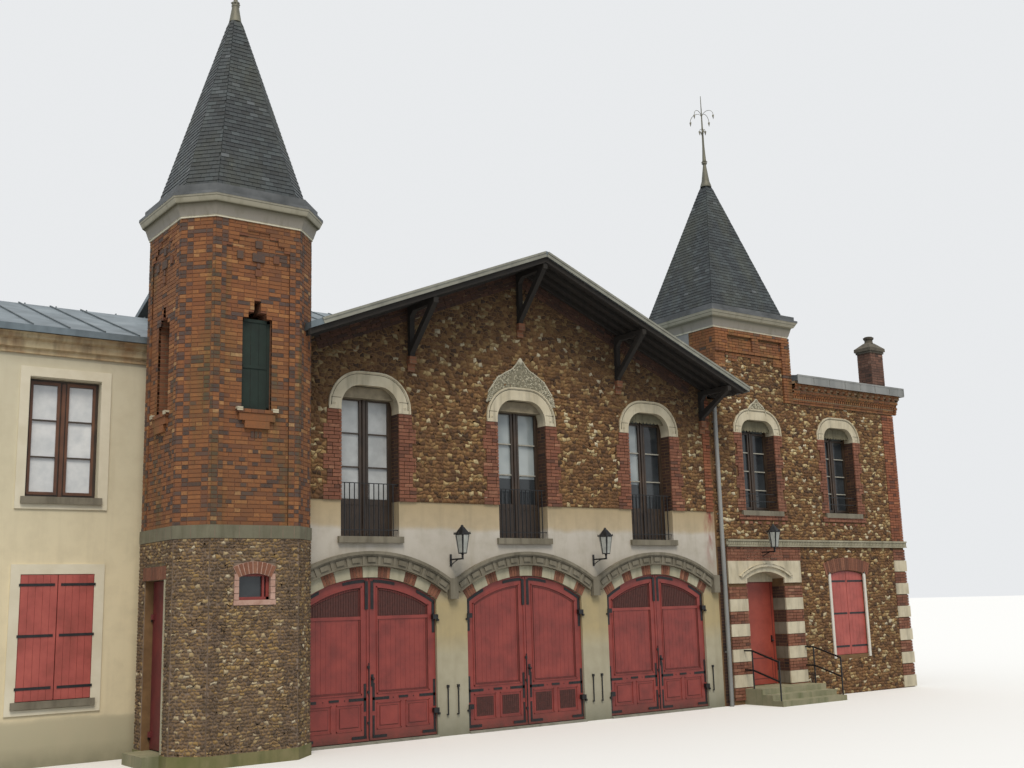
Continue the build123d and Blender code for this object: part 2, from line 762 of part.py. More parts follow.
with BuildPart() as tower_band:
    with BuildSketch(Plane.XY.offset(band_z)):
        tower_plan(band_proud)
        tower_plan(-tower_wall, mode=Mode.SUBTRACT)
    extrude(amount=band_high)
    block(tower_right, tower_right + 2 * band_proud, 0, tower_back + wall, 0, ridge_z, mode=Mode.SUBTRACT)
    block(tower_left, tower_right, tower_back, tower_back + wall, 0, ridge_z, mode=Mode.SUBTRACT)
tower_band.part.label = "tower_band"
export_step(tower_band.part, "parts/tower_band.step")


def stepped_slit(xc):
    """A slit with a stepped head and a narrow slot on top."""
    plain(xc, slit_half, slit_sill_z, slit_top_z)
    plain(xc, slit_half - slit_step, slit_top_z, slit_top_z + slit_step)
    plain(xc, slit_half - 2 * slit_step, slit_top_z + slit_step, slit_top_z + 3 * slit_step)


def stepped_panel(xc):
    """The sunk panel of a face, from the stone band up, with steps at its top."""
    plain(xc, shaft_panel_half, band_z, shaft_panel_top_z)
    for i, half in enumerate(shaft_panel_steps):
        plain(xc, half, shaft_panel_top_z + i * slit_step, shaft_panel_top_z + (i + 1) * slit_step)


with BuildPart() as tower_shaft:
    tower_shell(band_z + band_high, tower_top_z)
    with BuildSketch(Plane.XZ.offset(-tower_front)):
        stepped_slit(tower_x)
    extrude(amount=-tower_wall, mode=Mode.SUBTRACT)
    with BuildSketch(Plane.YZ.offset(tower_left)):
        stepped_slit(tower_y)
    extrude(amount=tower_wall, mode=Mode.SUBTRACT)
    with BuildSketch(Plane.XZ.offset(-tower_front)):
        stepped_panel(tower_x)
    extrude(amount=-shaft_panel_deep, mode=Mode.SUBTRACT)
    with BuildSketch(Plane.YZ.offset(tower_left)):
        stepped_panel(tower_y)
    extrude(amount=shaft_panel_deep, mode=Mode.SUBTRACT)
tower_shaft.part.label = "tower_shaft"
export_step(tower_shaft.part, "parts/tower_shaft.step")

gutter_z = tower_top_z + cornice_high


def flare(low, high, foot_proud, top_proud):
    """Rises from the plan drawn at a level and leans outward to its top."""
    return -degrees(atan((top_proud - foot_proud) / (high - low)))


spire_set_in = 1


def slope_cut(x, y, turn, base_out, top_out, low, high):
    """Cuts a rising body by a sloping plane that faces turn degrees from X, about the axis at x and y."""
    facing = Vector(1, 0, 0).rotate(Axis.Z, turn)
    lean = (base_out - top_out) / (high - low)
    foot = Vector(x, y, low) + facing * base_out
    split(bisect_by=Plane(origin=foot, z_dir=facing + Vector(0, 0, lean)), keep=Keep.BOTTOM)


with BuildPart() as tower_spire:
    with BuildSketch(Plane.XY.offset(gutter_z)):
        tower_plan(-spire_set_in)
    extrude(amount=spire_apex_z - gutter_z)
    spire_half = tower_size / 2 - spire_set_in
    diagonal_share = (tower_size - tower_cut) / (tower_size / sqrt(2))
    for quarter in range(4):
        slope_cut(tower_x, tower_y, 90 * quarter, spire_half, spire_top_half, gutter_z, spire_apex_z)
        slope_cut(tower_x, tower_y, 90 * quarter + 45, spire_half * diagonal_share,
                  spire_top_half * diagonal_share, gutter_z, spire_apex_z)
tower_spire.part.label = "tower_spire"
export_step(tower_spire.part, "parts/tower_spire.step")


# Side door of the tower, hung at its far jamb and opening outwards
side_pin = (tower_left + side_door_recess - pin_proud, side_y + side_door_half - side_pin_in)
with BuildPart() as tower_door:
    block(tower_left + side_door_recess, tower_left + side_door_recess + side_leaf_thick,
          side_y - side_door_half + side_free_gap, side_y + side_door_half - jamb_gap,
          side_door_z, side_door_top_z - jamb_gap)
    knuckles(side_pin, (0, -1), (1, 0), pin_proud, side_knuckles)
tower_door.part.label = "tower_door"
export_step(tower_door.part, "parts/tower_door.step")

# Left wing
with BuildPart() as left_wing_front:
    with BuildSketch(Plane.XZ.offset(-wing_front)):
        outline([(wing_left, 0), (block_left, 0), (block_left, wing_eave_z), (wing_left, wing_eave_z)])
        for z, high in ((wing_window_z, wing_window_high), (wing_shutter_z, wing_shutter_high)):
            plain(wing_window_x, wing_window_half, z - sill_thick, z + high, mode=Mode.SUBTRACT)
    extrude(amount=-wall)
left_wing_front.part.label = "left_wing_front"
export_step(left_wing_front.part, "parts/left_wing_front.step")

wing_ridge_y = (wing_front + wing_back) / 2
wing_half = wing_depth / 2 + wing_eave_out
wing_roof_thick = 120


def wing_gable(lift):
    """The left wing's cross section under its roof, raised by lift."""
    y0 = wing_ridge_y - wing_half
    y1 = wing_ridge_y + wing_half
    edge = wing_eave_z - wing_roof_thick + lift
    return [(y0, 0), (y0, edge), (wing_ridge_y, edge + wing_slope * wing_half), (y1, edge), (y1, 0)]


eaves_top_z = wing_eave_z - wing_roof_thick
eaves_profile = ((0, 350), (40, 350), (40, 280), (90, 250), (90, 130), (150, 90), (150, 40), (190, 0), (0, 0))
with BuildPart() as left_eaves:
    with BuildSketch(Plane.YZ.offset(wing_left)):
        outline([(wing_front - proud, eaves_top_z - drop) for proud, drop in eaves_profile])
    extrude(amount=block_left - wing_left)
    cut_tower(0, ridge_z)
left_eaves.part.label = "left_eaves"
export_step(left_eaves.part, "parts/left_eaves.step")

with BuildPart() as wing_space:
    with BuildSketch(Plane.YZ.offset(wing_left)):
        outline(wing_gable(0))
    extrude(amount=block_left - wing_left)

with BuildPart() as left_wing_walls:
    block(wing_left, wing_left + wall, wing_front + wall, wing_back - wall, 0, ridge_z)
    block(wing_left, block_left, wing_back - wall, wing_back, 0, ridge_z)
    block(wing_window_x - wing_window_half, wing_window_x + wing_window_half, wing_back - wall, wing_back,
          wing_window_z, wing_window_z + wing_window_high, mode=Mode.SUBTRACT)
    add(wing_space.part, mode=Mode.INTERSECT)
left_wing_walls.part.label = "left_wing_walls"
export_step(left_wing_walls.part, "parts/left_wing_walls.step")

with BuildPart() as left_wing_roof:
    with BuildSketch(Plane.YZ.offset(wing_left)):
        outline(wing_gable(wing_roof_thick))
        outline(wing_gable(0), mode=Mode.SUBTRACT)
    extrude(amount=block_left - wing_left)
    block(wing_left, block_left, wing_front, wing_front + wall, 0, wing_eave_z, mode=Mode.SUBTRACT)
    cut_tower(0, ridge_z)
left_wing_roof.part.label = "left_wing_roof"
export_step(left_wing_roof.part, "parts/left_wing_roof.step")

# Closed shutters, fixed: a pair in the left wing, a pair in the right wing, and the slit's board
shutter_thick = 40
board_recess = 130
with BuildPart() as shutters:
    block(tower_x - slit_half, tower_x + slit_half, tower_front + board_recess,
          tower_front + board_recess + shutter_thick, slit_sill_z, slit_top_z)
    y = wing_front - shutter_thick / 2
    for side in (-1, 1):
        xs = sorted((wing_window_x + side * 4, wing_window_x + side * wing_window_half))
        block(xs[0], xs[1], y, y + shutter_thick, wing_shutter_z + 10, wing_shutter_z + wing_shutter_high - 10)
    with BuildSketch(Plane.XZ.offset(-shutter_thick)):
        arched(right_shutter_x, right_shutter_half, right_shutter_z + 10, right_shutter_top_z - right_shutter_rise,
               right_shutter_rise)
        plain(right_shutter_x, 4, 0, ridge_z, mode=Mode.SUBTRACT)
    extrude(amount=-shutter_thick)
shutters.part.label = "shutters"
export_step(shutters.part, "parts/shutters.step")

# Right wing, front wall in pieces beside and over the entrance
entrance_left = entrance_x - entrance_half
entrance_right = entrance_x + entrance_half
right_mid_y = right_depth / 2
right_rise = right_slope * (right_mid_y + right_eave_out)
chimney_right = right_end - 20
chimney_left = chimney_right - chimney_wide
chimney_front = 120
chimney_back = chimney_front + chimney_deep


def cut_chimney():
    """Leaves the chimney's place free in a wall or roof."""
    block(chimney_left, chimney_right, chimney_front, chimney_back, right_eave_z, ridge_z, mode=Mode.SUBTRACT)


with BuildPart() as right_wing_lower:
    block(block_right, entrance_left, 0, wall, 0, string_z)
    with BuildSketch(Plane.XZ):
        outline([(entrance_right, 0), (right_end, 0), (right_end, string_z), (entrance_right, string_z)])
        arched(right_shutter_x, right_shutter_half, right_shutter_z, right_shutter_top_z - right_shutter_rise,
               right_shutter_rise, mode=Mode.SUBTRACT)
    extrude(amount=-wall)
right_wing_lower.part.label = "right_wing_lower"
export_step(right_wing_lower.part, "parts/right_wing_lower.step")

with BuildPart() as entrance_head:
    with BuildSketch(Plane.XZ):
        outline([(entrance_left, entrance_spring), (entrance_right, entrance_spring), (entrance_right, string_z),
                 (entrance_left, string_z)])
        arched(entrance_x, entrance_half, 0, entrance_spring, entrance_rise, mode=Mode.SUBTRACT)
    extrude(amount=-wall)
entrance_head.part.label = "entrance_head"
export_step(entrance_head.part, "parts/entrance_head.step")

entrance_radius = (entrance_half**2 + entrance_rise**2) / (2 * entrance_rise)
entrance_arc_z = entrance_spring + entrance_rise - entrance_radius
surround_left = 5960
surround_right = 8540
surround_low_z = 2780
surround_high_z = 3310
surround_proud = 40
entrance_hood_in = 120
entrance_hood_out = 195
entrance_hood_half = 870
entrance_hood_proud = 90
with BuildPart() as entrance_surround:
    with BuildSketch(Plane.XZ):
        outline([(surround_left, surround_low_z), (surround_right, surround_low_z),
                 (surround_right, surround_high_z), (surround_left, surround_high_z)])
        arched(entrance_x, entrance_half, 0, entrance_spring, entrance_rise, mode=Mode.SUBTRACT)
    extrude(amount=surround_proud)
    with BuildSketch(Plane.XZ):
        with Locations((entrance_x, entrance_arc_z)):
            Circle(entrance_radius + entrance_hood_out)
            Circle(entrance_radius + entrance_hood_in, mode=Mode.SUBTRACT)
        with Locations((entrance_x, surround_high_z)):
            Rectangle(2 * entrance_hood_half, 2 * (surround_high_z - surround_low_z), mode=Mode.INTERSECT)
    extrude(amount=entrance_hood_proud)
entrance_surround.part.label = "entrance_surround"
export_step(entrance_surround.part, "parts/entrance_surround.step")

with BuildPart() as right_wing_upper:
    with BuildSketch(Plane.XZ):
        outline([(block_right, string_z), (right_end, string_z), (right_end, right_eave_z),
                 (square_left + square_size, right_eave_z), (square_left + square_size, square_top_z),
                 (square_left, square_top_z), (square_left, link_top_z), (block_right, link_top_z)])
        for x in right_window_xs:
            basket(x, right_window_half, right_window_z - sill_thick, right_window_top_z, right_window_radius,
                   mode=Mode.SUBTRACT)
    extrude(amount=-wall)
    with BuildSketch(Plane.XZ):
        for x in right_window_xs:
            basket(x, right_window_half + head_band, right_head_foot_z,
                   right_window_top_z + head_band, right_window_radius + head_band)
    extrude(amount=-head_deep, mode=Mode.SUBTRACT)
right_wing_upper.part.label = "right_wing_upper"
export_step(right_wing_upper.part, "parts/right_wing_upper.step")

with BuildPart() as right_wing_walls:
    with BuildSketch(Plane.YZ.offset(right_end - wall)):
        outline([(wall, 0), (wall, right_eave_z), (right_mid_y, right_eave_z + right_rise),
                 (right_depth - wall, right_eave_z), (right_depth - wall, 0)])
    extrude(amount=wall)
    block(block_right, right_end, right_depth - wall, right_depth, 0, right_eave_z)
    for x in right_window_xs:
        block(x - right_window_half, x + right_window_half, right_depth - wall, right_depth,
              right_window_z, right_window_top_z, mode=Mode.SUBTRACT)
    cut_chimney()
right_wing_walls.part.label = "right_wing_walls"
export_step(right_wing_walls.part, "parts/right_wing_walls.step")

with BuildPart() as string_course:
    block(square_left, right_end + string_proud, -string_proud, 0, string_z, string_z + string_high)
string_course.part.label = "string_course"
export_step(string_course.part, "parts/string_course.step")

# Corbelled brick cornice round the right wing's front and end
cornice_low_z = 7290
wing_cornice = ((cornice_low_z, 40, 7400), (7400, 80, 7560), (7560, 120, 7700), (7700, 170, right_eave_z))
with BuildPart() as right_cornice:
    for low, proud, high in wing_cornice:
        block(square_left + square_size, right_end + proud, -proud, 0, low, high)
        block(right_end, right_end + proud, 0, right_depth, low, high)
right_cornice.part.label = "right_cornice"
export_step(right_cornice.part, "parts/right_cornice.step")

# Square tower above the wing, its side and rear walls standing on the attic floor
square_right = square_left + square_size
square_x = square_left + square_size / 2
square_y = square_depth / 2
square_inner = 350
with BuildPart() as square_tower:
    block(square_left, square_right, wall, square_depth, attic_z, square_top_z)
    block(square_left + square_inner, square_right - square_inner, wall, square_depth - square_inner, attic_z,
          square_top_z, mode=Mode.SUBTRACT)
square_tower.part.label = "square_tower"
export_step(square_tower.part, "parts/square_tower.step")


cornice_profile = (
    (0, bead_high, bead_proud, bead_proud),
    (bead_high, bead_high + cove_high, cove_foot, cove_top),
    (bead_high + cove_high, cornice_high, ovolo_foot, ovolo_proud))
square_ovolo_z = square_cornice_high - square_ovolo_high
square_profile = (
    (0, bead_high, bead_proud, bead_proud),
    (bead_high, square_ovolo_z, cove_foot, cove_top),
    (square_ovolo_z, square_cornice_high, ovolo_foot, square_ovolo_proud))
with BuildPart() as tower_cornices:
    for low, high, foot, top in cornice_profile:
        with BuildSketch(Plane.XY.offset(tower_top_z + low)) as plan:
            tower_plan(foot)
        extrude(plan.sketch, amount=high - low, taper=flare(low, high, foot, top))
    with BuildSketch(Plane.XY.offset(tower_top_z)) as inside:
        tower_plan(-tower_wall)
    extrude(inside.sketch, amount=cornice_high, mode=Mode.SUBTRACT)
    for low, high, foot, top in square_profile:
        with BuildSketch(Plane.XY.offset(square_top_z + low)) as plan:
            with Locations((square_x, square_y)):
                Rectangle(square_size + 2 * foot, square_depth + 2 * foot)
        extrude(plan.sketch, amount=high - low, taper=flare(low, high, foot, top))
    block(square_left + square_inner, square_right - square_inner, square_inner, square_depth - square_inner,
          square_top_z, square_top_z + square_cornice_high, mode=Mode.SUBTRACT)
tower_cornices.part.label = "tower_cornices"
export_step(tower_cornices.part, "parts/tower_cornices.step")

square_gutter_z = square_top_z + square_cornice_high
with BuildPart() as tower_gutters:
    for low, high, proud in ((0, gutter_lip_high, gutter_lip_proud), (gutter_lip_high, gutter_high, gutter_proud)):
        with BuildSketch(Plane.XY.offset(gutter_z + low)):
            tower_plan(proud)
            tower_plan(0, mode=Mode.SUBTRACT)
        extrude(amount=high - low)
    for low, high, proud in ((0, gutter_lip_high, square_lip_proud),
                             (gutter_lip_high, square_gutter_high, square_gutter_proud)):
        with BuildSketch(Plane.XY.offset(square_gutter_z + low)):
            with Locations((square_x, square_y)):
                Rectangle(square_size + 2 * proud, square_depth + 2 * proud)
                Rectangle(square_size, square_depth, mode=Mode.SUBTRACT)
        extrude(amount=high - low)
tower_gutters.part.label = "tower_gutters"
export_step(tower_gutters.part, "parts/tower_gutters.step")

with BuildPart() as square_spire:
    spire_x = square_size / 2 - spire_set_in
    spire_y = square_depth / 2 - spire_set_in
    block(square_x - spire_x, square_x + spire_x, square_y - spire_y, square_y + spire_y, square_gutter_z,
          square_apex_z)
    for turn, half in ((0, spire_x), (90, spire_y), (180, spire_x), (270, spire_y)):
        slope_cut(square_x, square_y, turn, half, spire_top_half, square_gutter_z, square_apex_z)
square_spire.part.label = "square_spire"
export_step(square_spire.part, "parts/square_spire.step")


def finial(x, y, z, steps):
    """A turned finial: (height, radius) steps up a closed profile, revolved about its own axis."""
    points = [(0, steps[0][0])] + [(r, h) for h, r in steps] + [(0, steps[-1][0])]
    axis_plane = Plane(origin=(x, y, z), x_dir=(1, 0, 0), z_dir=(0, -1, 0))
    with BuildSketch(axis_plane) as profile:
        outline(points)
    revolve(profile.sketch, axis=Axis((x, y, z), (0, 0, 1)))


with BuildPart() as finials:
    finial(tower_x, tower_y, spire_apex_z, tower_finial)
    finial(square_x, square_y, square_apex_z, square_finial)
finials.part.label = "finials"
export_step(finials.part, "parts/finials.step")

# Right wing roof, a low two-way pitch that sits flat on the walls
with BuildPart() as right_wing_roof:
    far_y = right_depth + right_eave_out
    edge_z = right_eave_z + right_roof_thick
    with BuildSketch(Plane.YZ.offset(block_right)):
        outline([(-right_eave_out, right_eave_z), (-right_eave_out, edge_z), (right_mid_y, edge_z + right_rise),
                 (far_y, edge_z), (far_y, right_eave_z), (right_depth - wall, right_eave_z),
                 (right_mid_y, right_eave_z + right_rise), (wall, right_eave_z)])
    extrude(amount=right_end + right_eave_out - block_right)
    block(block_right, square_right, -right_eave_out, square_depth, 0, ridge_z, mode=Mode.SUBTRACT)
    block(block_right, roof_half, -right_eave_out, far_y, 0, ridge_z, mode=Mode.SUBTRACT)
    cut_chimney()
right_wing_roof.part.label = "right_wing_roof"
export_step(right_wing_roof.part, "parts/right_wing_roof.step")

cap_steps = ((-150, 30, -90), (-90, 60, 0))
pot_radius = 110
pot_high = 350
with BuildPart() as chimney:
    block(chimney_left, chimney_right, chimney_front, chimney_back, right_eave_z, chimney_top_z)
    for low, proud, high in cap_steps:
        block(chimney_left - proud, chimney_right + proud, chimney_front - proud, chimney_back + proud,
              chimney_top_z + low, chimney_top_z + high)
    with Locations(((chimney_left + chimney_right) / 2, (chimney_front + chimney_back) / 2, chimney_top_z)):
        Cylinder(pot_radius, pot_high, align=(Align.CENTER, Align.CENTER, Align.MIN))
chimney.part.label = "chimney"
export_step(chimney.part, "parts/chimney.step")

# Entrance door, hung on its left and opening inwards, in a fixed frame
entrance_frame = 70
with BuildPart() as entrance_door_frame:
    with BuildSketch(Plane.XZ.offset(-entrance_recess)):
        arched(entrance_x, entrance_half, entrance_floor_z, entrance_spring, entrance_rise)
        plain(entrance_x, entrance_half - entrance_frame, 0, entrance_spring - entrance_frame, mode=Mode.SUBTRACT)
    extrude(amount=-entrance_leaf_thick)
entrance_door_frame.part.label = "entrance_door_frame"
export_step(entrance_door_frame.part, "parts/entrance_door_frame.step")

entrance_pin = (entrance_left + entrance_frame, entrance_recess + entrance_leaf_thick + pin_proud)
with BuildPart() as entrance_door:
    block(entrance_left + entrance_frame + jamb_gap, entrance_right - entrance_frame - jamb_gap,
          entrance_recess, entrance_recess + entrance_leaf_thick, entrance_floor_z + leaf_lift,
          entrance_spring - entrance_frame - jamb_gap)
    knuckles(entrance_pin, (1, 0), (0, -1), pin_proud, entrance_knuckles)
entrance_door.part.label = "entrance_door"
export_step(entrance_door.part, "parts/entrance_door.step")

# Hinge pins of all the doors
with BuildPart() as door_pins:
    for x in door_centres:
        for side in (-1, 1):
            pins((x + side * door_half, -pin_proud), (-side, 0), (0, 1), coach_knuckles)
    pins(side_pin, (0, -1), (1, 0), side_knuckles, side_pin_in, pin_radius)
    pins(entrance_pin, (1, 0), (0, -1), entrance_knuckles)
door_pins.part.label = "door_pins"
export_step(door_pins.part, "parts/door_pins.step")

step_rise = entrance_floor_z / 3
step_tread = 300
landing_out = 550
landing_left = 6300
landing_right = 8550
step_out = 320
step_drop = 20
with BuildPart() as entrance_steps:
    block(tower_left - step_out, inner_x, side_y - side_door_half, side_y + side_door_half, 0,
          side_door_z - step_drop)
    block(entrance_left, entrance_right, 0, wall, 0, entrance_floor_z)
    for i in range(3):
        block(landing_left, landing_right, -landing_out - i * step_tread, 0, 0, entrance_floor_z - i * step_rise)
entrance_steps.part.label = "entrance_steps"
export_step(entrance_steps.part, "parts/entrance_steps.step")

# Guard rails in the upper windows and hand rails beside the entrance steps
rail_radius = 18
rail_high = 880
rail_foot_y = -landing_out - 2 * step_tread + 80
rail_inset = 40
rail_count = 11
low_rail_lifts = (230, 410)
with BuildPart() as iron_rails:
    for x in window_centres:
        for z in (window_sill_z + sill_thick, rail_top_z - rail_bar):
            block(x - window_half, x + window_half, rail_inset, rail_inset + rail_bar, z, z + rail_bar)
        for i in range(rail_count):
            bar_x = x - window_half + (i + 1) * 2 * window_half / (rail_count + 1)
            block(bar_x - rail_bar / 2, bar_x + rail_bar / 2, rail_inset, rail_inset + rail_bar,
                  window_sill_z, rail_top_z)
    for x in right_window_xs:
        for lift in low_rail_lifts:
            z = right_window_z + lift
            block(x - right_window_half, x + right_window_half, rail_inset, rail_inset + rail_bar, z, z + rail_bar)
    for x in (landing_left + 2 * rail_radius, landing_right - 2 * rail_radius):
        for y, low in ((-landing_out / 2, entrance_floor_z), (rail_foot_y, entrance_floor_z - 2 * step_rise)):
            with Locations((x, y, low)):
                Cylinder(rail_radius, rail_high, align=(Align.CENTER, Align.CENTER, Align.MIN))
        for drop in (0, rail_high / 2):
            with BuildSketch(Plane.YZ.offset(x - rail_radius)):
                high_z = entrance_floor_z + rail_high - drop
                low_z = high_z - 2 * step_rise
                outline([(0, high_z), (-landing_out / 2, high_z), (rail_foot_y, low_z),
                         (rail_foot_y, low_z - 2 * rail_radius),
                         (-landing_out / 2, high_z - 2 * rail_radius), (0, high_z - 2 * rail_radius)])
            extrude(amount=2 * rail_radius)
iron_rails.part.label = "iron_rails"
export_step(iron_rails.part, "parts/iron_rails.step")

# Wall lanterns on iron arms
lantern_places = ((-1840, 3330), (1840, 3330), (7180, 3500))
arm_long = 430
lantern_foot = 90
lantern_head = 150
lantern_eave = 170
lantern_high = 380
lantern_hat = 140
lantern_lift = 110
lantern_arm = 30
plate_half = 120
plate_thick = 20
with BuildPart() as wall_lanterns:
    for x, z in lantern_places:
        block(x - plate_thick, x + plate_thick, -plate_thick, 0, z - plate_half, z + plate_half)
        block(x - lantern_arm / 2, x + lantern_arm / 2, -arm_long - lantern_arm / 2, -plate_thick, z,
              z + lantern_arm)
        block(x - lantern_arm / 2, x + lantern_arm / 2, -arm_long - lantern_arm / 2,
              -arm_long + lantern_arm / 2, z + lantern_arm, z + lantern_lift)
        spread = degrees(atan((lantern_head - lantern_foot) * cos(pi / 6) / lantern_high))
        with BuildSketch(Plane.XY.offset(z + lantern_lift)):
            with Locations((x, -arm_long)):
                RegularPolygon(lantern_foot, 6)
        extrude(amount=lantern_high, taper=-spread)
        fall = degrees(atan((lantern_eave - lantern_foot / 2) * cos(pi / 6) / lantern_hat))
        with BuildSketch(Plane.XY.offset(z + lantern_lift + lantern_high)):
            with Locations((x, -arm_long)):
                RegularPolygon(lantern_eave, 6)
        extrude(amount=lantern_hat, taper=fall)
wall_lanterns.part.label = "wall_lanterns"
export_step(wall_lanterns.part, "parts/wall_lanterns.step")

# Rainwater pipe in the corner between the block and the right wing
pipe_radius = 50
pipe_clip_zs = (1200, 4400, 6600)
pipe_clip_half = 15
pipe_clip_high = 40
pipe_clear = 10
pipe_drop = 60
pipe_x = block_right + 110
with BuildPart() as downpipe:
    with Locations((pipe_x, -string_proud - pipe_radius - pipe_clear, 0)):
        Cylinder(pipe_radius, link_top_z - pipe_drop, align=(Align.CENTER, Align.CENTER, Align.MIN))
    for z in pipe_clip_zs:
        block(pipe_x - pipe_clip_half, pipe_x + pipe_clip_half, -string_proud - 2 * pipe_clear, 0,
              z, z + pipe_clip_high)
downpipe.part.label = "downpipe"
export_step(downpipe.part, "parts/downpipe.step")
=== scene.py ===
"""Looks for a small chateau coach house: masonry, slates, zinc, painted joinery and ironwork."""

import math
import random

import bmesh
import bpy
from mathutils import Matrix, Vector


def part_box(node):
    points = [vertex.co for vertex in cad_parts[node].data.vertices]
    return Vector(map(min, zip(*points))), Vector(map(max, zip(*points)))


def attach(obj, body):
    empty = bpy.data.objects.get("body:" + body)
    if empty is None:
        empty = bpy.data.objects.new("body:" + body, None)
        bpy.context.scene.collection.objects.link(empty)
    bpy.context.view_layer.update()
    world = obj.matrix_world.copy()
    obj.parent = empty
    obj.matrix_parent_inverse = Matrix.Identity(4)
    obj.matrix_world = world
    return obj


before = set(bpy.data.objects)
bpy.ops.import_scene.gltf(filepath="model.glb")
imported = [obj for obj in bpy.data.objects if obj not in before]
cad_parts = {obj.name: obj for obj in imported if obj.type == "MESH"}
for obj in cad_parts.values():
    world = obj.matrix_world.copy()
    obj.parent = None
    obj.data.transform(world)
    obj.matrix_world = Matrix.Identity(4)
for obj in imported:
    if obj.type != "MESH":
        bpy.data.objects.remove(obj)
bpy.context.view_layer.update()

# Real sizes of the small units, in metres
BRICK_LONG = 0.220
BRICK_HIGH = 0.060
BRICK_JOINT = 0.012
BRICK_PITCH = BRICK_HIGH + BRICK_JOINT
BRICK_PROUD = 0.007
SLATE_WIDE = 0.16
SLATE_SHOWN = 0.088
MM = 1000.0

UP = Vector((0, 0, 1))
EAST = (1, 0, 0)
NORTH = (0, 1, 0)
WEST = (-1, 0, 0)
SOUTH = (0, -1, 0)


def corners(name):
    """A CAD node's two corners as six named numbers."""
    low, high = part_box(name)
    return low.x, high.x, low.y, high.y, low.z, high.z


# Small tools for materials


def linear(code):
    """An sRGB hex colour as linear RGBA."""
    parts = [int(code[i:i + 2], 16) / 255 for i in (1, 3, 5)]
    return [c / 12.92 if c <= 0.04045 else ((c + 0.055) / 1.055) ** 2.4 for c in parts] + [1.0]


def put(tree, kind, settings=None, sockets=None):
    """Adds a node with its settings, and fills or links its sockets."""
    made = tree.nodes.new(kind)
    for key, value in (settings or {}).items():
        if key == "stops":
            ramp = made.color_ramp.elements
            while len(ramp) < len(value):
                ramp.new(0.5)
            for element, (place, code) in zip(ramp, value):
                element.position = place
                element.color = linear(code)
        else:
            setattr(made, key, value)
    for key, value in (sockets or {}).items():
        if isinstance(value, bpy.types.NodeSocket):
            tree.links.new(value, made.inputs[key])
        else:
            made.inputs[key].default_value = value
    return made


def start_material(name, roughness, metallic=0.0):
    """A new material with one Principled shader; gives its tree, shader and object coordinates."""
    material = bpy.data.materials.new(name)
    material.use_nodes = True
    tree = material.node_tree
    tree.nodes.clear()
    shader = put(tree, "ShaderNodeBsdfPrincipled", None, {"Roughness": roughness, "Metallic": metallic})
    put(tree, "ShaderNodeOutputMaterial", None, {"Surface": shader.outputs[0]})
    place = put(tree, "ShaderNodeTexCoord").outputs["Object"]
    return material, tree, shader, place


def mixed(tree, share, low, high, blend="MIX"):
    """Two colours mixed by a share."""
    made = put(tree, "ShaderNodeMix", {"data_type": "RGBA", "blend_type": blend},
               {0: share, 6: low, 7: high})
    return made.outputs[2]


def noise(tree, place, size_mm, detail=5.0, stretch=(1, 1, 1)):
    """Noise whose patches are about size_mm across."""
    turned = put(tree, "ShaderNodeMapping", None, {"Vector": place, "Scale": stretch}).outputs[0]
    return put(tree, "ShaderNodeTexNoise", None,
               {"Vector": turned, "Scale": MM / size_mm, "Detail": detail, "Roughness": 0.6}).outputs[0]


def bumped(tree, shader, height, depth_mm, strength=1.0):
    """Raises the surface by a height map, depth in millimetres."""
    bump = put(tree, "ShaderNodeBump", None,
               {"Height": height, "Distance": depth_mm / MM, "Strength": strength})
    tree.links.new(bump.outputs[0], shader.inputs["Normal"])


def tinted(tree, value, stops):
    """A colour ramp over a value."""
    return put(tree, "ShaderNodeValToRGB", {"stops": stops}, {0: value}).outputs[0]


def share_of(tree, value, low, high):
    """How far a value has come from low to high, 0 to 1."""
    return tinted(tree, value, [(low, "#000000"), (high, "#ffffff")])


def tone_of(tree):
    """The random tone that each stone, brick or slate carries."""
    return put(tree, "ShaderNodeAttribute", {"attribute_name": "tone"}).outputs["Fac"]


def toned_material(name, stops, spots, roughness, grain_mm, depth_mm, soil="#4a4436", soil_share=0.35,
                   moss=None, roof_shade_and_soot=0.0):
    """A unit material: a colour for each unit from its tone, spots, soiling in wide patches and grain.
    moss is the colour of narrow growth that runs down the wall, the last argument the share of painted
    shade, with some soot, close under the big roof's slopes."""
    material, tree, shader, place = start_material(name, roughness)
    own = tinted(tree, tone_of(tree), stops)
    patch = share_of(tree, noise(tree, place, grain_mm * 3, 4.0), 0.42, 0.66)
    spotted = mixed(tree, patch, own, mixed(tree, 0.5, own, linear(spots)))
    wide = share_of(tree, noise(tree, place, 1400, 6.0), 0.40, 0.75)
    part = put(tree, "ShaderNodeMath", {"operation": "MULTIPLY"}, {0: wide, 1: soil_share}).outputs[0]
    soiled = mixed(tree, part, spotted, linear(soil))
    if moss:
        run = share_of(tree, noise(tree, place, 420, 5.0, (1, 1, 0.16)), 0.54, 0.70)
        grown = put(tree, "ShaderNodeMath", {"operation": "MULTIPLY"}, {0: run, 1: 0.55}).outputs[0]
        soiled = mixed(tree, grown, soiled, linear(moss))
    # Painted shade of the roof's overhang, with some soot: darker the nearer the wall comes up under the
    # slopes.
    if roof_shade_and_soot:
        parts = put(tree, "ShaderNodeSeparateXYZ", None, {0: place}).outputs
        side = put(tree, "ShaderNodeMath", {"operation": "ABSOLUTE"}, {0: parts[0]}).outputs[0]
        line = put(tree, "ShaderNodeMath", {"operation": "MULTIPLY_ADD"},
                   {0: side, 1: ROOF_SLOPE, 2: parts[2]}).outputs[0]
        sooty = put(tree, "ShaderNodeMapRange", None, {"Value": line, "From Min": UNDER_RIDGE - 2.4,
                                                       "From Max": UNDER_RIDGE - 0.4, "To Min": 0.0,
                                                       "To Max": roof_shade_and_soot}).outputs[0]
        soiled = mixed(tree, sooty, soiled, linear("#1f1813"))
    tree.links.new(soiled, shader.inputs["Base Color"])
    bumped(tree, shader, noise(tree, place, grain_mm, 8.0), depth_mm)
    return material


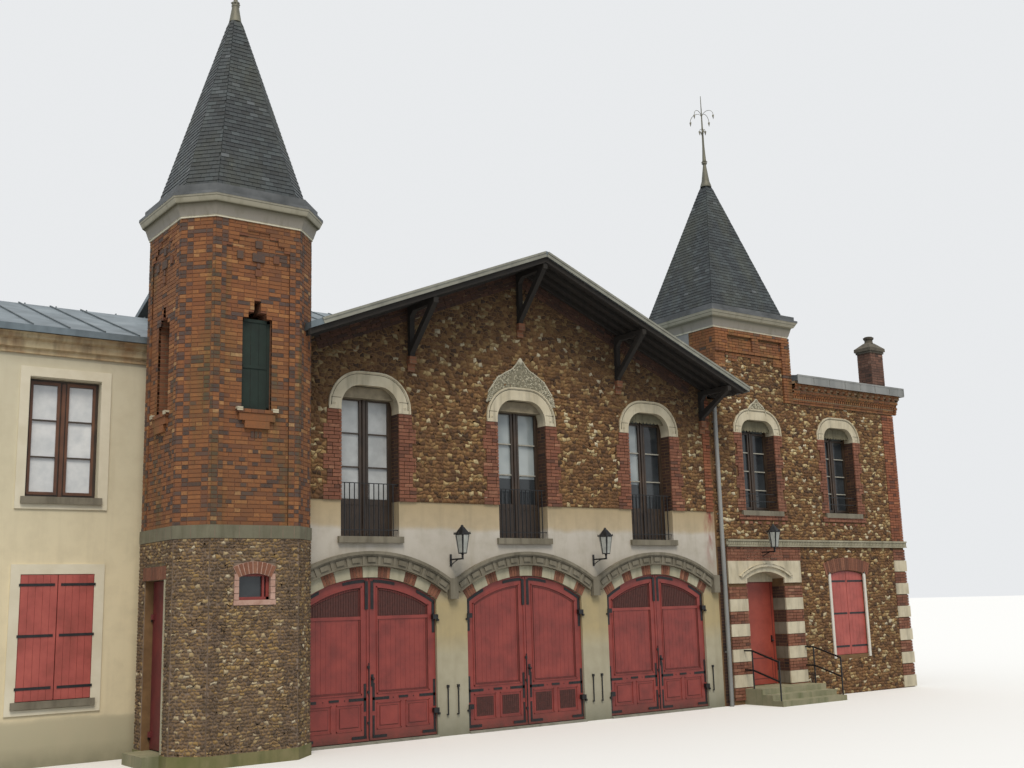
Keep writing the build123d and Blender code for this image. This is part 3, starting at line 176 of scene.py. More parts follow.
def plain_material(name, stops, roughness, patch_mm, grain_mm, depth_mm, metallic=0.0, stretch=(1, 1, 1)):
    """A surface material: patchy colour over grain."""
    material, tree, shader, place = start_material(name, roughness, metallic)
    tree.links.new(tinted(tree, noise(tree, place, patch_mm, 7.0, stretch), stops),
                   shader.inputs["Base Color"])
    bumped(tree, shader, noise(tree, place, grain_mm, 8.0, stretch), depth_mm)
    return material


# Materials


def millstone_material(name, roof_shade_and_soot=0.0):
    """Millstone rubble: rust brown to cream lumps, pitted, with painted shade and some soot close under a
    roof's overhang where that share is given.
    """
    return toned_material(
        name,
        [(0.0, "#3c2a1b"), (0.2, "#5c412a"), (0.42, "#785534"), (0.6, "#8c6a42"), (0.76, "#a68a5c"),
         (0.90, "#c2b083"), (1.0, "#d6ccb0")],
        "#4c3423", 0.93, 22, 5.0, "#4a3b2a", 0.3, None, roof_shade_and_soot)


def base_stone_material():
    """Grey field stones of the tower's foot, small, with yellow lichen."""
    return toned_material(
        "grey field stone",
        [(0.0, "#463a2f"), (0.25, "#665445"), (0.5, "#80694f"), (0.68, "#967a4c"), (0.84, "#a9946c"),
         (1.0, "#c2b79c")],
        "#8a6a34", 0.94, 20, 4.0, "#5c5140", 0.35)


def mortar_material(name, light, dark):
    """Lime mortar, sandy and matt."""
    return plain_material(name, [(0.3, dark), (0.7, light)], 0.95, 320, 6, 1.5)


def brick_material():
    """Fired clay brick: orange to plum, some burnt dark, sandy faces."""
    return toned_material(
        "fired clay brick",
        [(0.0, "#3a3130"), (0.14, "#524540"), (0.22, "#6b4432"), (0.45, "#80502f"), (0.7, "#905c35"),
         (0.88, "#a37244"), (1.0, "#b08c62")],
        "#6a4a36", 0.9, 14, 1.5, "#554631", 0.4, "#55502c")


def red_brick_material():
    """Pressed facing brick of the jambs, even red."""
    return toned_material(
        "pressed red brick",
        [(0.0, "#50352a"), (0.4, "#784936"), (0.75, "#8a5943"), (1.0, "#a0735a")],
        "#5b3f32", 0.88, 14, 1.0, "#4d3f33", 0.35)


def slate_material():
    """Split natural slate, blue grey, each a little different, with a dull sheen."""
    material, tree, shader, place = start_material("natural slate", 0.55)
    own = tinted(tree, tone_of(tree), [(0.0, "#1b2022"), (0.4, "#292f32"), (0.8, "#3c4446"),
                                       (1.0, "#52575a")])
    wide = share_of(tree, noise(tree, place, 800, 6.0, (1, 1, 0.35)), 0.46, 0.72)
    part = put(tree, "ShaderNodeMath", {"operation": "MULTIPLY"}, {0: wide, 1: 0.6}).outputs[0]
    grown = mixed(tree, part, own, linear("#45483a"))
    spots = share_of(tree, noise(tree, place, 70, 3.0, (1, 1, 0.5)), 0.66, 0.74)
    few = put(tree, "ShaderNodeMath", {"operation": "MULTIPLY"}, {0: spots, 1: wide}).outputs[0]
    tree.links.new(mixed(tree, few, grown, linear("#6f7160")), shader.inputs["Base Color"])
    bumped(tree, shader, noise(tree, place, 30, 6.0, (1, 1, 0.4)), 1.0)
    return material


def limestone_material(name, light, mid, dark):
    """Dressed limestone: pale and even, with rain streaks and grey crust."""
    material, tree, shader, place = start_material(name, 0.85)
    own = tinted(tree, noise(tree, place, 500, 6.0), [(0.3, mid), (0.62, light)])
    streak = share_of(tree, noise(tree, place, 160, 6.0, (1, 1, 0.12)), 0.48, 0.75)
    part = put(tree, "ShaderNodeMath", {"operation": "MULTIPLY"}, {0: streak, 1: 0.65}).outputs[0]
    tree.links.new(mixed(tree, part, own, linear(dark)), shader.inputs["Base Color"])
    bumped(tree, shader, noise(tree, place, 9, 9.0), 1.2)
    return material


def zinc_material():
    """Weathered zinc sheet: blue grey patina with soft streaks down the slope."""
    material, tree, shader, place = start_material("weathered zinc", 0.48, 0.55)
    own = tinted(tree, noise(tree, place, 700, 6.0, (1, 1, 0.5)),
                 [(0.3, "#59646a"), (0.55, "#77838a"), (0.8, "#98a2a6")])
    tree.links.new(own, shader.inputs["Base Color"])
    bumped(tree, shader, noise(tree, place, 260, 3.0), 2.0)
    return material


def paint_material(name, light, mid, dark, roughness=0.5, wear="#4a3026"):
    """Oil paint on boards: faded in patches, grain showing faintly along the boards, soiled low down."""
    material, tree, shader, place = start_material(name, roughness)
    own = tinted(tree, noise(tree, place, 420, 5.0), [(0.3, dark), (0.5, mid), (0.75, light)])
    grain = noise(tree, place, 20, 5.0, (1, 1, 0.06))
    worn = share_of(tree, noise(tree, place, 60, 9.0, (1, 1, 0.4)), 0.66, 0.76)
    height = put(tree, "ShaderNodeSeparateXYZ", None, {0: place}).outputs[2]
    low = put(tree, "ShaderNodeMapRange", None,
              {"Value": height, "From Min": 0.08, "From Max": 0.36, "To Min": 1.1, "To Max": 0.0}).outputs[0]
    spots = put(tree, "ShaderNodeMath", {"operation": "MULTIPLY"}, {0: worn, 1: 0.35}).outputs[0]
    spread = noise(tree, place, 90, 6.0)
    soil = put(tree, "ShaderNodeMath", {"operation": "MULTIPLY"}, {0: low, 1: spread}).outputs[0]
    share = put(tree, "ShaderNodeMath", {"operation": "ADD"}, {0: spots, 1: soil}).outputs[0]
    tree.links.new(mixed(tree, share, own, linear(wear)), shader.inputs["Base Color"])
    bumped(tree, shader, grain, 0.6)
    return material


def render_material(name, bands, stain, moss_top, smear=None):
    """Lime render: flat colours by height, rain stains down it and green growth near the ground.
    bands are (height in metres, colour) from the ground up; smear is an x in metres where old red paint
    has run down."""
    material, tree, shader, place = start_material(name, 0.93)
    height = put(tree, "ShaderNodeSeparateXYZ", None, {0: place}).outputs[2]
    ragged = put(tree, "ShaderNodeMath", {"operation": "MULTIPLY_ADD"},
                 {0: noise(tree, place, 900, 6.0), 1: 0.25, 2: height}).outputs[0]
    top = 10.0
    share = put(tree, "ShaderNodeMath", {"operation": "DIVIDE"}, {0: ragged, 1: top}).outputs[0]
    own = tinted(tree, share, [((z + 0.125) / top, code) for z, code in bands])
    patch = share_of(tree, noise(tree, place, 380, 8.0), 0.45, 0.75)
    streak = share_of(tree, noise(tree, place, 240, 6.0, (1, 1, 0.1)), 0.5, 0.8)
    both = put(tree, "ShaderNodeMath", {"operation": "MULTIPLY"}, {0: patch, 1: 0.35}).outputs[0]
    stained = mixed(tree, both, own, linear(stain))
    less = put(tree, "ShaderNodeMath", {"operation": "MULTIPLY"}, {0: streak, 1: 0.4}).outputs[0]
    streaked = mixed(tree, less, stained, linear(stain))
    low = put(tree, "ShaderNodeMapRange", None,
              {"Value": height, "From Min": 0.0, "From Max": moss_top, "To Min": 0.8,
               "To Max": 0.0}).outputs[0]
    wet = put(tree, "ShaderNodeMath", {"operation": "MULTIPLY"},
              {0: low, 1: noise(tree, place, 300, 8.0)}).outputs[0]
    weathered = mixed(tree, wet, streaked, linear("#5b5c48"))
    if smear:
        across = put(tree, "ShaderNodeSeparateXYZ", None, {0: place}).outputs[0]
        away = put(tree, "ShaderNodeMath", {"operation": "SUBTRACT"}, {0: across, 1: smear}).outputs[0]
        near = put(tree, "ShaderNodeMath", {"operation": "ABSOLUTE"}, {0: away}).outputs[0]
        close = put(tree, "ShaderNodeMapRange", None,
                    {"Value": near, "From Min": 0.04, "From Max": 0.22, "To Min": 1.0,
                     "To Max": 0.0}).outputs[0]
        run = put(tree, "ShaderNodeMapRange", None,
                  {"Value": height, "From Min": 2.9, "From Max": 4.3, "To Min": 0.0,
                   "To Max": 1.0}).outputs[0]
        both = put(tree, "ShaderNodeMath", {"operation": "MULTIPLY"}, {0: close, 1: run}).outputs[0]
        broken = share_of(tree, noise(tree, place, 130, 7.0, (1, 1, 0.25)), 0.40, 0.60)
        part = put(tree, "ShaderNodeMath", {"operation": "MULTIPLY"}, {0: both, 1: broken}).outputs[0]
        weathered = mixed(tree, part, weathered, linear("#85403a"))
    tree.links.new(weathered, shader.inputs["Base Color"])
    bumped(tree, shader, noise(tree, place, 14, 9.0), 2.0)
    return material


def cornice_material():
    """Painted stone cornices: a white bead, a grey cove with a dark line of painted shadow under the roll, a
    cream roll over it. The two towers' cornices start at their own levels, told apart by the side of the
    middle door."""
    material, tree, shader, place = start_material("tower cornice stone", 0.85)
    parts = put(tree, "ShaderNodeSeparateXYZ", None, {0: place}).outputs
    right = put(tree, "ShaderNodeMath", {"operation": "GREATER_THAN"}, {0: parts[0], 1: 0.0}).outputs[0]
    foot = put(tree, "ShaderNodeMapRange", None,
               {"Value": right, "To Min": TOWER_TOP, "To Max": SQUARE_TOP}).outputs[0]
    over = put(tree, "ShaderNodeMath", {"operation": "SUBTRACT"}, {0: parts[2], 1: foot}).outputs[0]
    share = put(tree, "ShaderNodeMath", {"operation": "MULTIPLY"}, {0: over, 1: 2.5}).outputs[0]
    # The dark stop at 0.60, just under the roll, is the roll's painted shadow.
    own = tinted(tree, share, [(0.0, "#d3cdb8"), (0.08, "#cfc9b4"), (0.10, "#98938a"), (0.45, "#8d8779"),
                               (0.60, "#6d6a58"), (0.66, "#aca793"), (0.80, "#b4af9c"), (0.83, "#6a675a"),
                               (0.86, "#b8b3a0")])
    streak = share_of(tree, noise(tree, place, 160, 6.0, (1, 1, 0.2)), 0.50, 0.78)
    part = put(tree, "ShaderNodeMath", {"operation": "MULTIPLY"}, {0: streak, 1: 0.5}).outputs[0]
    tree.links.new(mixed(tree, part, own, linear("#6b6650")), shader.inputs["Base Color"])
    bumped(tree, shader, noise(tree, place, 9, 9.0), 1.0)
    return material


def glass_material():
    """Old window glass: slightly grey, sharp reflections, a pale blind close behind it."""
    material, tree, shader, place = start_material("window glass", 0.06)
    own = tinted(tree, noise(tree, place, 1500, 3.0), [(0.35, "#6d777a"), (0.6, "#a4acac")])
    tree.links.new(own, shader.inputs["Base Color"])
    shader.inputs["IOR"].default_value = 1.52
    shader.inputs["Coat Weight"].default_value = 0.5
    bumped(tree, shader, noise(tree, place, 400, 2.0), 1.0, 0.3)
    return material


def stony_material(name, stone_stops, mortar, cell_mm, joint, depth_mm):
    """Rubble as a surface only, for the sides and the rear: Voronoi stones in mortar."""
    material, tree, shader, place = start_material(name, 0.93)
    shaken = put(tree, "ShaderNodeVectorMath", {"operation": "MULTIPLY_ADD"},
                 {0: put(tree, "ShaderNodeTexNoise", None, {"Vector": place, "Scale": 6.0}).outputs[1],
                  1: (0.06, 0.06, 0.06), 2: place}).outputs[0]
    flat = put(tree, "ShaderNodeMapping", None, {"Vector": shaken, "Scale": (1, 1, 1.45)}).outputs[0]
    cells = put(tree, "ShaderNodeTexVoronoi", None, {"Vector": flat, "Scale": MM / cell_mm})
    edges = put(tree, "ShaderNodeTexVoronoi", {"feature": "DISTANCE_TO_EDGE"},
                {"Vector": flat, "Scale": MM / cell_mm})
    own = put(tree, "ShaderNodeSeparateColor", None, {0: cells.outputs["Color"]}).outputs[0]
    stone = tinted(tree, own, stone_stops)
    grain = tinted(tree, noise(tree, place, 60, 8.0), [(0.35, "#5a4a38"), (0.65, "#ffffff")])
    speckled = mixed(tree, 0.35, stone, grain, "MULTIPLY")
    solid = put(tree, "ShaderNodeMapRange", {"interpolation_type": "SMOOTHSTEP"},
                {"Value": edges.outputs["Distance"], "From Min": joint * 0.4,
                 "From Max": joint * 1.6}).outputs[0]
    tree.links.new(mixed(tree, solid, linear(mortar), speckled), shader.inputs["Base Color"])
    rough = put(tree, "ShaderNodeMath", {"operation": "MULTIPLY_ADD"},
                {0: noise(tree, place, 30, 8.0), 1: 0.3, 2: solid}).outputs[0]
    bumped(tree, shader, rough, depth_mm)
    return material


def coursed_material(name):
    """Brick as a surface only, for backs and reveals: courses in sandy mortar."""
    material, tree, shader, place = start_material(name, 0.9)
    parts = put(tree, "ShaderNodeSeparateXYZ", None, {0: place}).outputs
    run = put(tree, "ShaderNodeMath", {"operation": "ADD"}, {0: parts[0], 1: parts[1]}).outputs[0]
    flat = put(tree, "ShaderNodeCombineXYZ", None, {0: run, 1: parts[2]}).outputs[0]
    bricks = put(tree, "ShaderNodeTexBrick", None,
                 {"Vector": flat, "Color1": linear("#6b4431"), "Color2": linear("#805439"),
                  "Mortar": linear("#6f5c47"), "Scale": 1.0, "Mortar Size": BRICK_JOINT / 2,
                  "Brick Width": BRICK_LONG + BRICK_JOINT, "Row Height": BRICK_PITCH})
    tree.links.new(bricks.outputs["Color"], shader.inputs["Base Color"])
    bumped(tree, shader, bricks.outputs["Fac"], -3.0)
    return material


MILLSTONE = millstone_material("millstone rubble")
FIELD_STONE = base_stone_material()
MORTAR = mortar_material("brown lime mortar", "#7d6140", "#5a432b")
GREY_MORTAR = mortar_material("pinkish grey lime mortar", "#8a7868", "#685a4d")
BRICK_MORTAR = mortar_material("sandy brick mortar", "#a08a6d", "#7d654e")
BRICK = brick_material()
RED_BRICK = red_brick_material()
SLATE = slate_material()
LIMESTONE = limestone_material("cream limestone", "#c9c0a8", "#b3a98f", "#7d7768")
GREY_STONE = limestone_material("grey limestone", "#8b897c", "#767468", "#4c4d40")
BAND_STONE = limestone_material("mossy band stone", "#716e5b", "#605d4c", "#44442f")
ARCH_STONE = limestone_material("grey cream arch stone", "#aba68f", "#99947e", "#6d6955")
STRING_STONE = limestone_material("carved grey cream stone", "#a19c87", "#8c8773", "#676350")
STEP_STONE = limestone_material("mossy step stone", "#8f8a70", "#75755a", "#4f5a32")
HOOD_STONE = limestone_material("soiled grey limestone", "#7b7566", "#676152", "#403c2f")
ZINC = zinc_material()
SEAM_ZINC = plain_material("darkened zinc seams", [(0.3, "#4b5357"), (0.7, "#6a7377")], 0.5, 300, 60, 0.5,
                           0.4)
LEAD = plain_material("weathered lead", [(0.3, "#57564d"), (0.7, "#7d7b6b")], 0.6, 260, 40, 1.0, 0.35,
                      (1, 1, 0.3))
GUTTER_ZINC = plain_material("dull old zinc of the gutters", [(0.3, "#484b4c"), (0.7, "#6b6e70")], 0.62, 420,
                             60, 1.0, 0.3)
# Near black for the painted shade in the heads' carved grooves.
GROOVE_SHADE = plain_material("painted shade in carved grooves", [(0.3, "#35322a"), (0.7, "#4c4839")], 0.95, 120, 10, 0.5)
RED_PAINT = paint_material("red oil paint on boards", "#903f36", "#80352f", "#6c2c27")
ENTRANCE_PAINT = paint_material("orange red oil paint", "#9c4737", "#8d3c2e", "#7a3226")
SHUTTER_PAINT = paint_material("faded red oil paint on shutters", "#b25b50", "#a24e46", "#8b4239")
BROWN_PAINT = paint_material("dark brown oil paint", "#4a3a2d", "#35291f", "#2a211a", 0.45, "#5a4a3a")
GREEN_PAINT = paint_material("dark green oil paint", "#1d2f28", "#15241e", "#0f1a16", 0.85, "#141c18")
TIMBER = plain_material("dark stained timber", [(0.3, "#14110f"), (0.7, "#231e18")], 0.9, 200, 16, 1.0,
                        0.0, (1, 1, 0.15))
VERGE_ZINC = plain_material("weathered zinc verge strip", [(0.3, "#74746a"), (0.7, "#949488")], 0.6, 300, 20,
                            0.6, 0.2)
VALANCE = plain_material("faded canvas valance", [(0.35, "#565240"), (0.65, "#6f6a55")], 0.9, 260, 12, 0.5,
                         0.0, (1, 1, 0.3))
PINK_BRICK = plain_material("limewashed pink brick", [(0.3, "#9c7868"), (0.7, "#bf9f90")], 0.9, 120, 10, 1.0)
CARVED_STONE = plain_material("lichen grey carved stone", [(0.3, "#a5a08c"), (0.7, "#c6c1ad")], 0.9, 120, 8,
                              0.8)
CREST_GROUND = plain_material("shaded stone between carved leaves", [(0.3, "#6d6957"), (0.7, "#8a8572")],
                              0.95, 120, 10, 0.8)
# Glass painted dark as the shade of the unlit room behind it.
DARK_PANE = plain_material("window glass painted with the shade of the room behind", [(0.35, "#23272a"), (0.65, "#3a3f42")], 0.1,
                           900, 300, 0.2)
PALE_BAR = plain_material("pale putty and paint on thin bars", [(0.3, "#8b887d"), (0.7, "#a7a498")], 0.7, 60,
                          8, 0.3)
RUSTY_PAINT = paint_material("red brown oil paint", "#6f4a33", "#5b3b29", "#472e20", 0.5, "#4a3226")
CHIMNEY_BRICK = toned_material("sooty chimney brick", [(0.0, "#382c28"), (0.4, "#5c4136"), (0.75, "#785545"),
                                                       (1.0, "#927060")], "#3a2c28", 0.9, 14, 1.2, "#38302b",
                                                       0.4)
ORANGE_BRICK = toned_material("orange facing brick", [(0.0, "#4f3226"), (0.4, "#804a31"), (0.75, "#94593b"),
                                                      (1.0, "#a8734f")], "#6b4433", 0.88, 14, 1.0, "#4b3c2f",
                                                      0.35)
# Brick darkened as painted shade in the reveals, and as painted shade with some soot in the strip under the
# roof.
SHADED_BRICK = toned_material("facing brick darkened as painted shade", [(0.0, "#231815"), (0.4, "#3b2720"),
                                                                   (0.75, "#4d3226"), (1.0, "#604131")],
                             "#2c1f1a", 0.9, 14, 1.0, "#241c17", 0.4)
PIPE_ZINC = plain_material("pale worn zinc of the downpipe", [(0.3, "#757775"), (0.7, "#959693")], 0.5, 400,
                           60, 0.5, 0.3, (1, 1, 0.2))
CAP_MORTAR = plain_material("sooty cap mortar", [(0.3, "#47423a"), (0.7, "#625c50")], 0.95, 120, 8, 2.0)
CURTAIN_PANE = plain_material("window glass over a pale curtain", [(0.35, "#a3a6a6"), (0.65, "#c0c3c2")],
                              0.12, 500, 300, 0.2)
WHITE_PANE = plain_material("window glass over a white curtain", [(0.35, "#c6cbce"), (0.65, "#dde0e1")],
                            0.12, 300, 40, 0.1)
# The tower door's red, darkened as painted shade.
SHADED_DOOR_PAINT = paint_material("red oil paint darkened as painted shade", "#6e2d2b", "#602628", "#4d1f21")
FLOOR_BOARDS = plain_material("sawn floor boards", [(0.3, "#7d6448"), (0.7, "#9b8260")], 0.7, 200, 16, 1.0)
IRON = plain_material("black painted wrought iron", [(0.3, "#17181a"), (0.7, "#2a2b2d")], 0.42, 60, 8, 0.4,
                      0.4)
ARCH_RENDER = render_material(
    "lime render over the arches",
    [(0.0, "#8b8978"), (0.7, "#a5a08c"), (1.5, "#a9a28a"), (1.9, "#aa9b76"), (2.5, "#a69772"),
     (2.9, "#a79f90"), (3.4, "#b4aea3"), (3.9, "#bbb5aa"), (3.99, "#b3a387"), (4.5, "#a49373")],
    "#837b64", 0.4, 5.44)
WING_RENDER = render_material(
    "cream lime render",
    [(0.0, "#a09a80"), (0.72, "#b3ab90"), (0.78, "#d6c9a8"), (3.0, "#dccfae"), (4.6, "#cfc6aa"),
     (6.8, "#cac3ab"), (7.6, "#b7ad93")],
    "#b3a88d", 0.35)
MOSSY_STONE = limestone_material("mossy plinth stone", "#7a7350", "#5f6136", "#3f4a22")
EAVES_RENDER = limestone_material("weathered brown eaves", "#c2b28f", "#946e4a", "#513c2a")
WHITE_BAND = plain_material("white painted band", [(0.3, "#c9c5b9"), (0.7, "#d8d5cb")], 0.85, 400, 12, 0.8)
GRILLE = plain_material("dark red louvres", [(0.3, "#3a1f1b"), (0.7, "#532c26")], 0.7, 60, 8, 0.6)
# Darker red for the painted shade in the doors' mouldings and grooves.
RED_SHADE = plain_material("red paint darkened as painted shade in the mouldings", [(0.3, "#4e211d"), (0.7, "#662e28")], 0.7,
                           160, 10, 0.4)
BLIND = plain_material("beige painted blind box", [(0.3, "#6d6350"), (0.7, "#8b816b")], 0.8, 150, 10, 0.6)
PALE_PANE = plain_material("white opal lantern glass", [(0.3, "#8a8d88"), (0.7, "#aaada6")], 0.25, 120, 30,
                           0.1)
PALE_RENDER = plain_material("pale smooth render of the window bands", [(0.3, "#cdc5ad"), (0.7, "#dad3be")],
                             0.9, 400, 12, 0.8)
RUBBLE_FACE = stony_material(
    "millstone rubble, side walls",
    [(0.0, "#4b3826"), (0.3, "#6b5035"), (0.55, "#86694a"), (0.8, "#a98f66"), (1.0, "#d5c7a8")],
    "#7a6347", 150, 0.09, 12.0)
BASE_FACE = stony_material(
    "grey field stone, tower foot",
    [(0.0, "#5a4f41"), (0.4, "#7c6f5b"), (0.75, "#94845f"), (1.0, "#b9ae93")], "#716857", 120, 0.09, 9.0)
BRICK_FACE = coursed_material("fired clay brick, plain walls")
ROOF_ZINC = plain_material("weathered zinc sheets", [(0.3, "#59646a"), (0.55, "#727d83"), (0.8, "#8d979b")],
                           0.5, 800, 260, 2.0, 0.5)
GLASS = glass_material()
SQUARE_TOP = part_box("square_tower")[1].z
TOWER_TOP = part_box("tower_shaft")[1].z
CORNICE = cornice_material()


# Small tools for shapes


def facing(origin, along):
    """A wall's own axes: x along it, y up it, z out of it."""
    along = Vector(along).normalized()
    out = along.cross(UP)
    turn = Matrix((along, UP, out)).transposed().to_4x4()
    return Matrix.Translation(origin) @ turn


def on_front(x, y=0.0, z=0.0):
    """The axes of a wall that looks at the street, their origin at x, y, z."""
    return facing((x, y, z), EAST)


def new_shape():
    """An empty bmesh that carries a tone on each vertex."""
    bm = bmesh.new()
    bm.verts.layers.float.new("tone")
    return bm


def box_in(bm, at, x0, x1, y0, y1, z0, z1, tone=0.5, slot=0):
    """A block between two corners in the axes at."""
    size = Matrix.Diagonal((x1 - x0, y1 - y0, z1 - z0, 1))
    middle = Matrix.Translation(((x0 + x1) / 2, (y0 + y1) / 2, (z0 + z1) / 2))
    made = bmesh.ops.create_cube(bm, size=1, matrix=at @ middle @ size)["verts"]
    layer = bm.verts.layers.float["tone"]
    for vert in made:
        vert[layer] = tone
    if slot:
        for face in {f for v in made for f in v.link_faces}:
            face.material_index = slot
    return made


def boxes(bm, at, fields, z0, z1, tone=0.5, slot=0):
    """Blocks over fields (x0, x1, y0, y1), all from z0 to z1."""
    for x0, x1, y0, y1 in fields:
        box_in(bm, at, x0, x1, y0, y1, z0, z1, tone, slot)


def span(side, near, far):
    """Two places at one side of a middle, the lower first."""
    return sorted((side * near, side * far))


def cut(low, high, count, near=0.0, far=1.0):
    """Equal parts from low to high as (start, end), each kept from its share near to its share far."""
    step = (high - low) / count
    return [(low + (part + near) * step, low + (part + far) * step) for part in range(count)]


def reshape(at, verts, moved):
    """Moves vertices to where moved puts their place in the axes at."""
    back = at.inverted()
    for vert in verts:
        vert.co = at @ Vector(moved(*(back @ vert.co)))


def drum(bm, at, low, high, depth, segments):
    """A closed drum or cone round the z of at, low and high its radii, half its depth to each side."""
    bmesh.ops.create_cone(bm, cap_ends=True, segments=segments, radius1=low, radius2=high, depth=depth,
                          matrix=at)


def show(name, data):
    """Puts data into the scene as an object."""
    made = bpy.data.objects.new(name, data)
    bpy.context.scene.collection.objects.link(made)
    return made


def piece(name, bm, materials, body="building"):
    """Makes the finished mesh a named piece that rides on a body."""
    mesh = bpy.data.meshes.new(name)
    bm.to_mesh(mesh)
    bm.free()
    for material in materials:
        mesh.materials.append(material)
    obj = show(name, mesh)
    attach(obj, body)
    return obj


def dress(material, *names):
    """Gives CAD nodes a material."""
    for name in names:
        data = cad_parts[name].data
        data.materials.clear()
        data.materials.append(material)


def free_runs(low, high, cuts):
    """What is left of a run after the cuts are taken out."""
    runs = [(low, high)]
    for a, b in cuts:
        runs = [part for x0, x1 in runs for part in ((x0, min(x1, a)),
                                                     (max(x0, b), x1)) if part[1] > part[0]]
    return runs


def courses(bm, at, x0, x1, y0, y1, rng, holes=(), proud=BRICK_PROUD, slot=0, grid=None, chain=0.0,
            burnt=0.05):
    """Brick courses over a field in the axes at, cut at the field's ends and at holes. grid is the level
    that the courses count from, chain the width at each end where dark headers change sides, and burnt
    the share of dark bricks."""
    first = y0 if grid is None else grid
    row = math.floor((y0 - first) / BRICK_PITCH)
    while first + row * BRICK_PITCH < y1:
        low = max(first + row * BRICK_PITCH, y0)
        top = min(first + row * BRICK_PITCH + BRICK_HIGH, y1)
        row += 1
        if top - low < 0.02:
            continue
        cuts = [(a, b) for a, b, c, d in holes if c < top - 0.01 and d > low + 0.01]
        for start, end in free_runs(x0, x1, cuts):
            edge = start - (0.116 if row % 2 else 0)
            while edge < end - 0.02:
                in_chain = chain and (edge < x0 + chain - 0.02 or edge > x1 - chain - 0.09)
                long = 0.104 if in_chain or rng.random() < 0.28 else BRICK_LONG
                left = max(edge, start)
                right = min(edge + long, end)
                edge += long + BRICK_JOINT
                if right - left < 0.028:
                    continue
                tone = min(1.0, max(0.0, rng.gauss(0.56, 0.17)))
                if rng.random() < burnt:
                    tone = rng.uniform(0.0, 0.16)
                middle = (left + right) / 2
                nearer = min(middle - x0, x1 - middle) < chain / 2
                if in_chain and nearer == (row // 2 % 2 == 0) and rng.random() < 0.8:
                    tone = rng.uniform(0.0, 0.2)
                box_in(bm, at, left, right, low, top, -0.04, proud + rng.uniform(-0.0015, 0.0015), tone,
                       slot)


